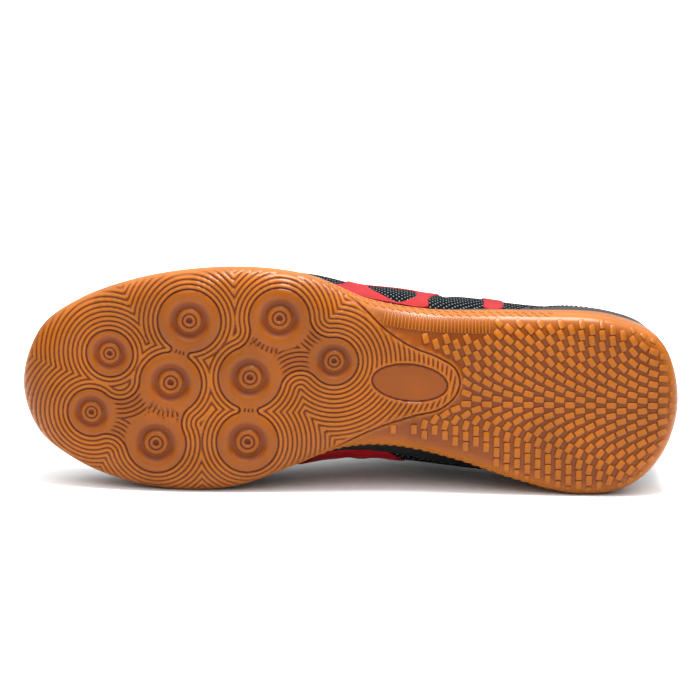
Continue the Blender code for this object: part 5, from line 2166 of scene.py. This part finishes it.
@dataclass
class Overlays:
    """Toe cap, heel counter, eyestays, rands and the red film of both quarters."""

    toe_cap_end: float = 0.80
    counter_end: float = 0.24
    foot: float = 0.012
    eyestay_width: float = 13.5 * MM
    eyestay_setback: float = 0.8 * MM
    eyestay_top: float = 0.379
    eyestay_end: float = 0.675

    def throat_edge(self, around: Array) -> Array:
        """How far up each section the eyestay's upper edge runs."""
        away = FORM.throat_half_width(np.abs(around)) + self.eyestay_setback
        return FORM.up_at_distance(around, away)

    def eyestay(self, side: Side) -> tuple:
        """Sections, upper edge and lower edge of one eyestay.

        Args:
            side: which side.

        Returns:
            All three.
        """
        around = side.value * sections_between(self.eyestay_top, self.eyestay_end)
        high = self.throat_edge(around)
        start = self.eyestay_top
        corner = np.interp(np.abs(around), [start, start + 0.03], [0.75, 1])
        return around, high, FORM.up_below(around, high, self.eyestay_width * corner)

    def toe_cap(self) -> tuple:
        """Sections and upper edge of the toe cap.

        Returns:
            Both.
        """
        half = sections_between(self.toe_cap_end, 1.0)
        around = np.concatenate([half, -half[-2::-1]])
        ends = [self.toe_cap_end, FORM.toe_fan, 1.0]
        return around, smooth(ends, [0.10, 0.44, 0.60], np.abs(around))

    def counter(self) -> tuple:
        """Sections and upper edge of the heel counter.

        Returns:
            Both.
        """
        around = sections_between(-self.counter_end, self.counter_end)
        share = np.abs(around) / self.counter_end
        return around, smooth([0, 0.5, 1], [0.78, 0.62, 0.16], share)

    def rand(self, side: Side, rows: list) -> None:
        """Makes the smooth black strip above the rim on one side.

        Args:
            side: which side.
            rows: pairs of share of the length and how far up the strip reaches.
        """
        knots, reach = np.array(rows).T
        around = sections_between(knots[0], knots[-1])
        high = smooth(knots, reach, around)
        low = np.full(len(around), self.foot)
        name = f"rand_{side.name.lower()}"
        Band(name, side.value * around, low, high, thickness=0.5 * MM, rows=14).build()

    def build(self) -> None:
        """Makes every overlay."""
        self.rand(Side.MEDIAL, [(0.15, 0.12), (0.3, 0.2), (0.4, 0.17), (0.5, 0.13), (0.62, 0.08)])
        lateral = [(0.14, 0.12), (0.22, 0.13), (0.3, 0.11), (0.38, 0.07), (0.45, 0.03)]
        self.rand(Side.LATERAL, lateral)
        ends = {"toe_cap": self.toe_cap(), "heel_counter": self.counter()}
        for node, (around, high) in ends.items():
            low = np.full(len(around), self.foot)
            Band(node + "_skin", around, low, high, (node,)).build()
        for side in Side:
            around, high, low = self.eyestay(side)
            node = f"eyestay_{side.name.lower()}"
            Band(node + "_skin", around, low, high, (node,)).build()
        panel = Shape(
            (154, 149, 145, 134, 123, 110, 103.5, 104.5, 107.5, 110.2, 110.8, 113, 128, 146),
            (4, 13, 36, 56, 62, 62, 54, 43, 30, 15, 4.4, 3.5, 3.6, 3.7),
        )
        blade = Shape(
            (85.2, 85.4, 86.2, 88.5, 94, 87.5, 80.5, 77.4, 76.8, 78.2, 81.5),
            (5, 20, 36, 48, 60, 55.5, 45, 31, 12, 5.2, 3.6),
        )
        wedge = Shape(
            (137, 135.5, 128, 119, 115.5, 117.5, 123.9, 130.5), (20, 33, 43, 42, 26, 12, 4.9, 8.8)
        )
        nodes = ("quarter_band_lateral",)
        Film("film_lateral", Side.LATERAL, (panel, blade), (wedge,), nodes).build()
        panel = Shape(
            (168, 158, 150, 136, 126, 121, 119, 123, 134, 150, 164, 170),
            (14, 6, 5.4, 5.4, 8, 14, 23, 32, 36, 36, 31, 22),
        )
        windows = (
            Shape((166, 160, 156, 156.5, 161, 165.5), (20, 13.5, 17, 26, 30, 27)),
            Shape((150.5, 145, 141, 143, 149, 151.5), (14, 11.5, 16, 26, 29.5, 22)),
            Shape((136, 129, 125.5, 128.5, 135, 138), (13, 13.5, 19, 27, 29.5, 22)),
        )
        nodes = ("quarter_band_medial",)
        Film("film_medial", Side.MEDIAL, (panel,), windows, nodes).build()


@dataclass
class Tongue:
    """The padded tongue under the throat, quilted across, which stands past the top."""

    thickness: float = 4.0 * MM
    gap: float = 0.8 * MM
    flare: float = 0.5
    half_width: float = 24 * MM
    rise: float = 14 * MM
    fine_rows: int = 84
    fine_columns: int = 44
    channels: tuple = (0.30, 0.44, 0.58, 0.72, 0.84)
    channel_depth: float = 0.9 * MM

    def coarse(self) -> tuple:
        """The part's own rows of points on the tongue's outer face, and their normals.

        Returns:
            Both, and the share of the width of each point in a row.
        """
        along = np.concatenate([[0.715, 0.695], np.linspace(0.66, 0.375, 9)])
        shares = np.array([-1, -0.85, -0.6, -0.3, 0, 0.3, 0.6, 0.85, 1])
        half = self.half_width * np.interp(along, [0.375, 0.6, 0.715], [1, 0.9, 0.62])
        faces, normals = [], []
        for a, width in zip(along, half):
            side = np.where(shares < 0, -a, a)
            up = FORM.up_at_distance(side, np.abs(shares) * width)
            up = np.where(shares == 0, 1.0, up)
            normals.append(FORM.upper_normal(side, up))
            under = FORM.upper_wall + self.gap
            faces.append(FORM.upper_surface(side, up) - normals[-1] * under)
        run = unit(faces[-1] - faces[-2])
        middle = run[len(shares) // 2]
        run = unit(middle + (run - middle) * self.flare)
        rounding = np.sqrt(1 - 0.6 * np.abs(shares) ** 3)[:, None]
        narrowing = np.column_stack([0 * shares, -shares * self.half_width, 0 * shares])
        for step in (0.4, 0.75, 1.0):
            rise = run * self.rise * step * (1 - step * (1 - rounding))
            faces.append(faces[len(along) - 1] + rise + narrowing * 0.12 * step**2)
            normals.append(normals[-1])
        return np.array(faces), np.array(normals), shares

    def build(self) -> None:
        """Makes the tongue as one closed pad."""
        face, normal, shares = self.coarse()
        at_row = np.linspace(0, len(face) - 1, self.fine_rows)
        knots, at_side = np.arange(len(face)), np.linspace(-1, 1, self.fine_columns)

        def refined(grid: Array) -> Array:
            """Reads the coarse rows at the fine rows and columns.

            Args:
                grid: a vector for each row and share of the coarse rows.

            Returns:
                The same for each fine row and column.
            """
            tall = smooth(knots, grid.reshape(len(face), -1), at_row)
            tall = tall.reshape(self.fine_rows, len(shares), 3).swapaxes(0, 1)
            wide = smooth(shares, tall.reshape(len(shares), -1), at_side)
            return wide.reshape(self.fine_columns, self.fine_rows, 3).swapaxes(0, 1)

        face, normal = refined(face), unit(refined(normal))
        edge = np.sqrt(np.clip(1 - np.abs(at_side) ** 6, 0, 1))[None]
        row = at_row / (len(knots) - 1)
        end = np.sqrt(fade(row, 0, 0.02) * fade(-row, -1, -0.965))[:, None]
        dip = sum(np.exp(-(((row - c) / 0.012) ** 2)) for c in self.channels)[:, None]
        dip = dip * fade(-np.abs(at_side), -0.8, -0.6)[None] * self.channel_depth
        thick = self.thickness * np.interp(np.abs(at_side), [0, 0.6, 1], [1, 0.9, 0.5])[None]
        thick = thick * edge * end
        middle = face - normal * self.thickness * 0.45
        outer = middle + normal * (thick * 0.45 - np.minimum(dip, thick * 0.4))[..., None]
        inner = middle - normal * (thick * 0.55)[..., None]
        loop = np.concatenate([outer, inner[:, -2:0:-1]], axis=1)
        run = np.arange(loop.shape[1]) * 1.1 * MM
        high = np.arange(loop.shape[0]) * 1.6 * MM
        weave = np.stack(np.meshgrid(run, high), axis=-1).reshape(-1, 2)
        faces = tube_faces(1, *loop.shape[:2])
        points = loop.reshape(-1, 3)
        made = make_piece("tongue_pad", points, faces, "mesh", ("tongue",), None, weave)


@dataclass
class Insole:
    """The footbed: knitted top on foam, hollowed under the heel."""

    thickness: float = 4.0 * MM
    hollow: float = 1.2 * MM

    def build(self) -> None:
        """Makes the footbed as closed rings of points."""
        around = fine_sections(4)
        reach = INSOLE_RING.reach(around)
        rows = [(1.0, 0.0), (0.5, 0.0), (0.0, 0.0), (0.0, 0.7), (0.006, 0.9), (0.02, 1.0)]
        rows += [(s, 1.0) for s in (0.08, 0.2, 0.35, 0.5, 0.65, 0.8, 0.9, 1.0)]
        points = []
        for inset, high in rows:
            ring = INSOLE_RING.at(around, FORM.floor_height, reach * inset)
            share = ring[:, 0] / FORM.sole_length
            dish = self.hollow * np.exp(-(((share - 0.13) / 0.1) ** 2)) * fade(inset, 0.02, 0.5)
            ring[:, 2] += FORM.clearance + self.thickness * high - dish * (high == 1.0)
            points.append(ring)
        points = np.array(points).reshape(-1, 3)
        faces = grid_faces(len(rows), len(around), closed=True)
        made = make_piece("footbed", points, faces, "lining", ("insole",), None, points[:, :2])


@dataclass
class Lacing:
    """Eyelets on both eyestays and the flat lace that runs through them."""

    overlays: Overlays
    rows: int = 6
    top: float = 0.400
    low: float = 0.655
    ring_radius: float = 3.6 * MM
    hole_radius: float = 2.0 * MM
    ring_height: float = 0.95 * MM
    seat: float = 1.1 * MM
    width: float = 5.6 * MM
    thickness: float = 1.5 * MM
    lift: float = 3.6 * MM
    step_over: float = 1.0 * MM
    steps: int = 44
    sides: int = 16
    ring_steps: int = 36
    dip: float = 2.4 * MM

    def place(self, side: int, row: int) -> tuple:
        """Section and place up it of one eyelet, counted from the top row.

        Args:
            side: -1 or 1.
            row: its number.

        Returns:
            Both.
        """
        along = self.top + (self.low - self.top) * row / (self.rows - 1)
        around = np.array([side * along])
        edge = self.overlays.throat_edge(around)
        return around, FORM.up_below(around, edge, self.overlays.eyestay_width * 0.45)

    def eyelets(self) -> None:
        """Makes every eyelet in one mesh, each with its dark hole."""
        radius, hole, high = self.ring_radius, self.hole_radius, self.ring_height
        rows = [(radius, -0.3 * MM), (radius, high * 0.3), (radius - 0.25 * MM, high * 0.8)]
        rows += [(radius * 0.8, high), (hole * 1.15, high * 0.85), (hole, high * 0.45)]
        rows += [(hole, -0.2 * MM), (0.02 * MM, -0.25 * MM)]
        steps = self.ring_steps
        angle = turns(steps)
        points, faces = [], []
        for side in (-1, 1):
            for row in range(self.rows):
                spot = self.place(side, row)
                normal = FORM.upper_normal(*spot)[0]
                centre = FORM.upper_surface(*spot)[0] + normal * self.seat
                turn = np.array(Vector(normal).to_track_quat("Z", "Y").to_matrix())
                first = len(points) * steps
                for r, z in rows:
                    ring = [np.cos(angle) * r, np.sin(angle) * r, np.full(steps, z)]
                    points.append(np.stack(ring, axis=1) @ turn.T + centre)
                faces.append(grid_faces(len(rows), steps, closed=True) + first)
        nodes = [f"eyelet_{s}_{k + 1}" for s in ("medial", "lateral") for k in range(self.rows)]
        made = np.vstack(points)
        make_piece("eyelet_rings", made, np.vstack(faces), "synthetic", tuple(nodes))

    def run(self, start: tuple, end: tuple, step_over: float) -> tuple:
        """Points and weave map of one run of lace, down through both of its eyelets.

        Args:
            start: share of the length and signed distance from the spine of one eyelet.
            end: the same for the other one.
            step_over: how much higher this run lies, to pass over the others.

        Returns:
            Points in rows across the run, and their weave map.
        """
        share = np.linspace(0, 1, self.steps)
        along = start[0] + (end[0] - start[0]) * share
        away = start[1] + (end[1] - start[1]) * share
        around = np.where(away < 0, -along, along)
        up = FORM.up_at_distance(around, np.abs(away))
        up = np.where(np.abs(away) < 0.01 * MM, 1.0, up)
        normal = FORM.upper_normal(around, up)
        picked = np.linspace(0, self.steps - 1, 9).astype(int)
        normal = unit(smooth(share[picked], normal[picked], share))
        near = np.minimum(share, 1 - share)
        arc = rounded(near, 0.10)
        lift = -self.dip + (self.lift + self.dip) * arc + step_over * fade(near, 0.1, 0.3)
        line = FORM.upper_surface(around, up) + normal * lift[:, None]
        forward = np.gradient(line, axis=0)
        across = unit(np.cross(forward, normal))
        over = unit(np.cross(across, forward))
        squeeze = 0.55 + 0.45 * fade(near, 0.02, 0.14)
        angle = turns(self.sides)
        wide = np.sign(np.cos(angle)) * np.abs(np.cos(angle)) ** 0.7 * self.width / 2
        high = np.sign(np.sin(angle)) * np.abs(np.sin(angle)) ** 0.8 * self.thickness / 2
        ring = across[:, None] * (wide[None] * squeeze[:, None])[..., None]
        ring = ring + over[:, None] * (high[None] / squeeze[:, None] ** 0.5)[..., None]
        points = line[:, None] + ring
        distance = walked(line)[:, None]
        weave = np.stack([wide[None] + 0 * distance, distance + 0 * wide[None]], axis=-1)
        return points.reshape(-1, 3), weave.reshape(-1, 2)

    def lace(self) -> None:
        """Makes the lace's crossings, from a bar at the bottom to the top eyelets."""
        seats = {}
        for side in (-1, 1):
            for row in range(self.rows):
                around, up = self.place(side, row)
                spot = FORM.upper_surface(around, up)[0, :2] - FORM.spine_at(abs(around[0]))
                seats[side, row] = (abs(around[0]), side * np.linalg.norm(spot))
        low = self.rows - 1
        runs = [self.run(seats[-1, low], seats[1, low], 0.0)]
        for row in range(low):
            for side, over in ((-1, 0.0), (1, self.step_over)):
                runs.append(self.run(seats[side, row], seats[-side, row + 1], over))
        points, weave = (np.vstack(parts) for parts in zip(*runs))
        faces = tube_faces(len(runs), self.steps, self.sides)
        make_piece("lace_runs", points, faces, "cord", ("lace",), None, weave)

    def build(self) -> None:
        """Makes the eyelets and the lace."""
        self.eyelets()
        self.lace()


@dataclass
class Stitching:
    """Rows of lockstitch along the overlays' edges, in one mesh."""

    overlays: Overlays
    length: float = 2.3 * MM
    pitch: float = 3.1 * MM
    radius: float = 0.3 * MM
    lift: float = 1.1 * MM
    sides: int = 6
    stations: tuple = (0, 0.2, 0.5, 0.8, 1.0)
    swell: tuple = (0.25, 0.85, 1.0, 0.85, 0.25)
    rise: tuple = (-0.7, 0.1, 0.3, 0.1, -0.7)
    top_margin: float = 1.8 * MM
    low_margin: float = 2.0 * MM
    up_margin: float = 0.055

    def row(self, around: Array, up: Array) -> list:
        """Points of the stitches along a line on the upper.

        Args:
            around: the line's sections.
            up: how far up each section it lies.

        Returns:
            The points of each stitch.
        """
        line = dressed_surface(around, up, np.full(len(around), self.lift))
        normal = FORM.upper_normal(around, up)
        distance = walked(line)
        found = []
        angle = turns(self.sides)
        thick, rise = self.radius * np.array(self.swell), self.radius * np.array(self.rise)
        for start in np.arange(2 * MM, distance[-1] - self.pitch, self.pitch):
            at = start + np.array(self.stations) * self.length
            middle, out = read_along(at, distance, line), read_along(at, distance, normal)
            side = np.cross(unit(middle[-1] - middle[0]), out)
            ring = side[:, None] * np.cos(angle)[None, :, None]
            ring = ring + out[:, None] * np.sin(angle)[None, :, None]
            raised = middle + out * rise[:, None]
            found.append(raised[:, None] + ring * thick[:, None, None])
        return found

    def build(self) -> None:
        """Stitches the eyestays, the toe cap and the counter."""
        made = []
        for side in Side:
            around, high, _ = self.overlays.eyestay(side)
            around, high = around[4:-4], high[4:-4]
            made += self.row(around, FORM.up_below(around, high, self.top_margin))
            reach = self.overlays.eyestay_width - self.low_margin
            made += self.row(around[12:], FORM.up_below(around, high, reach)[12:])
        for around, high in (self.overlays.toe_cap(), self.overlays.counter()):
            made += self.row(around[6:-6], np.maximum(high[6:-6] - self.up_margin, 0.03))
        points = np.array(made).reshape(-1, 3)
        faces = tube_faces(len(made), len(self.stations), self.sides)
        make_piece("stitching", points, faces, "cord", (), None, points[:, :2])


@dataclass
class Studio:
    """Pale floor, soft light from above and the camera at the photograph's angle."""

    elevation: float = math.radians(11)
    roll: float = math.radians(0.6)
    distance: float = 1.72
    lens: float = 200.0
    aim: tuple = (0.0, -0.040, 0.0615)
    floor_half: float = 60.0
    sky_range: tuple = (0.22, 2.75)
    lamp_place: tuple = (0.12, -0.12, 1.0)
    lamp_size: float = 0.35
    lamp_power: float = 19.0
    lamp_aim: tuple = (0, -0.02, 0.05)

    def camera(self) -> None:
        """Places the camera in front of the sole, a little above it."""
        lens = bpy.data.cameras.new("camera")
        lens.lens, lens.sensor_width = self.lens, 36
        made = bpy.data.objects.new("camera", lens)
        out = Vector((0, -math.cos(self.elevation), math.sin(self.elevation)))
        made.location = Vector(self.aim) + out * self.distance
        turn = (-out).to_track_quat("-Z", "Y") @ Quaternion((0, 0, 1), self.roll)
        made.rotation_euler = turn.to_euler()
        bpy.context.scene.collection.objects.link(made)
        bpy.context.scene.camera = made

    def light(self) -> None:
        """Adds a square soft light above, which faces the shoe."""
        lamp = bpy.data.lights.new("top", "AREA")
        lamp.size, lamp.energy = self.lamp_size, self.lamp_power
        made = bpy.data.objects.new("top", lamp)
        made.location = self.lamp_place
        way = Vector(self.lamp_aim) - Vector(self.lamp_place)
        made.rotation_euler = way.to_track_quat("-Z", "Y").to_euler()
        bpy.context.scene.collection.objects.link(made)

    def sky(self) -> None:
        """Makes a soft dome of light, strongest overhead."""
        world = bpy.data.worlds.new("sky")
        bpy.context.scene.world = world
        world.use_nodes = True
        tree = world.node_tree
        way = add_node(tree, "TexCoord", {}, {}).outputs["Generated"]
        high = add_node(tree, "SeparateXYZ", {}, {"Vector": way}).outputs["Z"]
        low, top = self.sky_range
        values = {"interpolation_type": "SMOOTHSTEP", "To Min": low, "To Max": top}
        strength = add_node(tree, "MapRange", values, {"Value": high}).outputs["Result"]
        tree.links.new(strength, tree.nodes["Background"].inputs["Strength"])
        tree.nodes["Background"].inputs["Color"].default_value = (1, 1, 1, 1)

    def build(self) -> None:
        """Makes the floor, the sky, the light and the camera."""
        mesh = bpy.data.meshes.new("floor")
        corners = ((-1, -1), (1, -1), (1, 1), (-1, 1))
        spots = [(x * self.floor_half, y * self.floor_half, 0) for x, y in corners]
        mesh.from_pydata(spots, [], [(0, 1, 2, 3)])
        mesh.materials.append(MATERIALS["floor"])
        floor = bpy.data.objects.new("floor", mesh)
        bpy.context.scene.collection.objects.link(floor)
        self.sky()
        self.light()
        bpy.context.scene.view_settings.view_transform = "Standard"
        self.camera()


def main() -> None:
    """Builds the shoe piece by piece, and then the studio."""
    logging.basicConfig(level=logging.INFO, format="%(message)s")
    tread = Tread()
    tread.build()
    CupWall().build()
    HeelLugs().build(tread)
    WallDashes().build()
    Upper().build()
    overlays = Overlays()
    overlays.build()
    Tongue().build()
    Insole().build()
    Lacing(overlays).build()
    Stitching(overlays).build()
    Studio().build()


if __name__ == "__main__":
    main()
